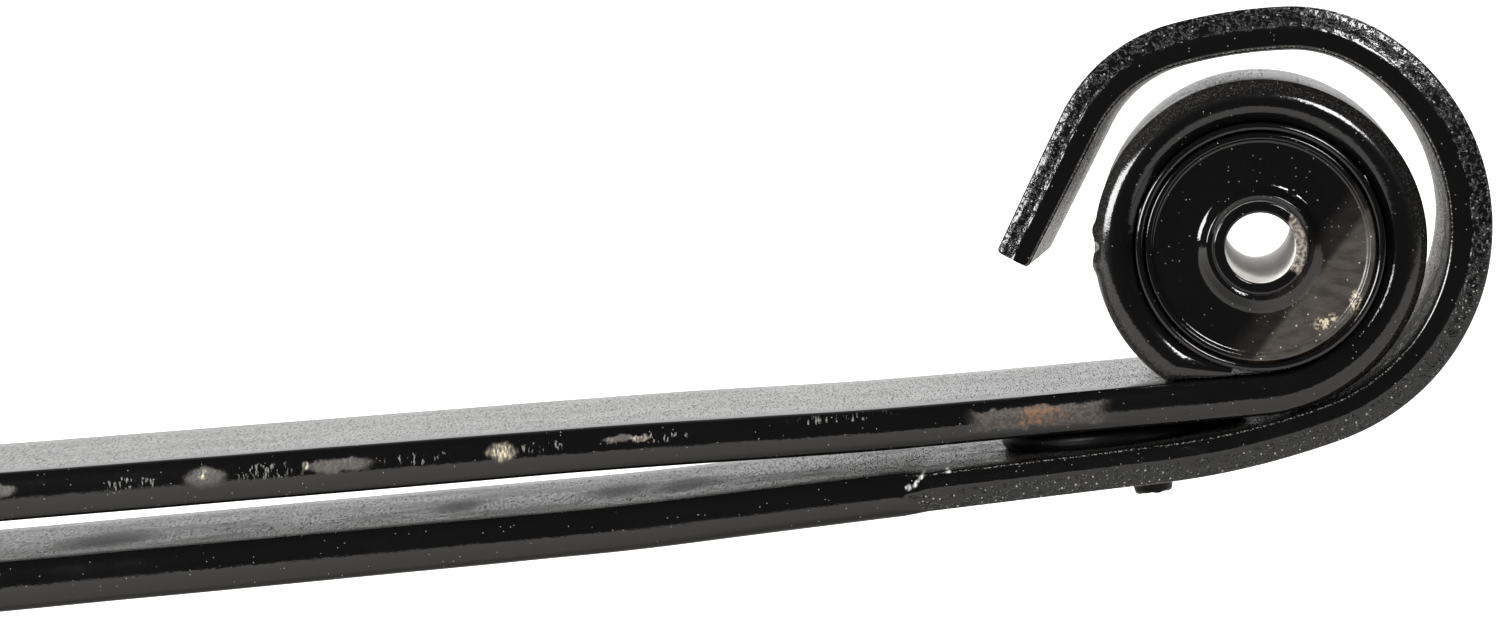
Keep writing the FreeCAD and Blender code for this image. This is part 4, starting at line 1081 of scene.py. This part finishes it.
def make_room():
    """A studio for reflections: white behind the part, dimmer overhead, dark in front; pale to the camera."""
    world = bpy.data.worlds.new("studio")
    bpy.context.scene.world = world
    world.use_nodes = True
    tree = world.node_tree

    def value_range(socket, low, high, to_low, to_high):
        ranged = tree.nodes.new("ShaderNodeMapRange")
        ranged.interpolation_type = "SMOOTHSTEP"
        for index, value in enumerate((low, high, to_low, to_high), 1):
            ranged.inputs[index].default_value = value
        tree.links.new(socket, ranged.inputs[0])
        return ranged.outputs[0]

    direction = tree.nodes.new("ShaderNodeTexCoord").outputs["Generated"]
    parts = tree.nodes.new("ShaderNodeSeparateXYZ")
    tree.links.new(direction, parts.inputs[0])
    backdrop = value_range(parts.outputs[1], -0.10, 0.30, ROOM_DARK, 1.0)
    ceiling = value_range(parts.outputs[2], 0.35, 0.90, 1.0, 0.35)
    glow = tree.nodes.new("ShaderNodeMath")
    glow.operation = "MULTIPLY"
    tree.links.new(backdrop, glow.inputs[0])
    tree.links.new(ceiling, glow.inputs[1])
    choice = tree.nodes.new("ShaderNodeMix")
    tree.links.new(tree.nodes.new("ShaderNodeLightPath").outputs["Is Camera Ray"], choice.inputs[0])
    tree.links.new(glow.outputs[0], choice.inputs[2])
    choice.inputs[3].default_value = PALE
    background = tree.nodes["Background"]
    background.inputs["Color"].default_value = (1, 1, 1, 1)
    tree.links.new(choice.outputs[0], background.inputs["Strength"])


def make_floor():
    """A pale floor, below the eyes at full bump, that ends in front so that flat faces mirror the dark."""
    finish = bpy.data.materials.new("floor")
    finish.use_nodes = True
    shader = finish.node_tree.nodes["Principled BSDF"]
    shader.inputs["Base Color"].default_value = FLOOR_COLOUR
    shader.inputs["Roughness"].default_value = 0.9
    shader.inputs["Emission Color"].default_value = (1, 1, 1, 1)
    seen = finish.node_tree.nodes.new("ShaderNodeLightPath").outputs["Is Camera Ray"]
    finish.node_tree.links.new(seen, shader.inputs["Emission Strength"])
    mesh = bpy.data.meshes.new("floor")
    level = CAD_BOX[0].z - FLOOR_DROP
    corners = ((-FLOOR_REACH, -FLOOR_FRONT), (FLOOR_REACH, -FLOOR_FRONT), (FLOOR_REACH, FLOOR_REACH),
               (-FLOOR_REACH, FLOOR_REACH))
    mesh.from_pydata([(x, y, level) for x, y in corners], [], [(0, 1, 2, 3)])
    mesh.materials.append(finish)
    floor = bpy.data.objects.new("floor", mesh)
    bpy.context.scene.collection.objects.link(floor)


def softbox(name, azimuth, elevation, distance, width, height, radiance):
    """A rectangular light seen from the eye at an azimuth, in degrees from straight in front to the right."""
    turn, rise = math.radians(azimuth), math.radians(elevation)
    towards = Vector((math.sin(turn) * math.cos(rise), -math.cos(turn) * math.cos(rise), math.sin(rise)))
    data = light(name, "AREA", EYE + towards * distance, EYE, radiance * math.pi * width * height)
    data.shape = "RECTANGLE"
    data.size, data.size_y = width, height


def make_studio():
    make_camera()
    make_room()
    make_floor()
    sun = light("top_light", "SUN", Vector((0.42, 0.34, 0.85)) * 5, (0, 0, 0), 3.1)
    sun.angle = math.radians(18)
    softbox("left_light", -52, 12, 2.5, 1.6, 0.9, 22)
    softbox("right_light", 20, 28, 2.2, 0.6, 0.6, 30)
    bpy.context.scene.view_settings.view_transform = "Standard"


# --------------------------------------------------------------------------- assembly
def settle(piece, body, slot, *nodes):
    """The piece rides on a body and stands for its design nodes; its slot is not used."""
    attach(piece, body)
    dress(piece, slot, *nodes)


def dress(piece, slot, *nodes):
    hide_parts(*nodes)


def make_leaves(finishes):
    for end, sign in ENDS:
        for leaf, name in ((main_leaf, "main"), (second_leaf, "second")):
            piece = leaf(end, sign, finishes[f"{name}_leaf_paint"])
            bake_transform(piece)
            dress(piece, f"{name}_leaf_paint", f"{name}_leaf_{end}_arm", f"{name}_leaf_seat")


finishes = make_finishes()
make_leaves(finishes)
seat(finishes)
main_line = main_stations()
hook = hook_stations(second_stations())
plain = run_to(second_stations(), EYE.x + PLAIN_OVERHANG, FINE)
for end, sign in ENDS:
    bush(end, sign, finishes)
    silencer_pad(end, sign, hook if end == "front" else plain, main_line, finishes)
    clip(end, sign, plain, finishes)
make_studio()
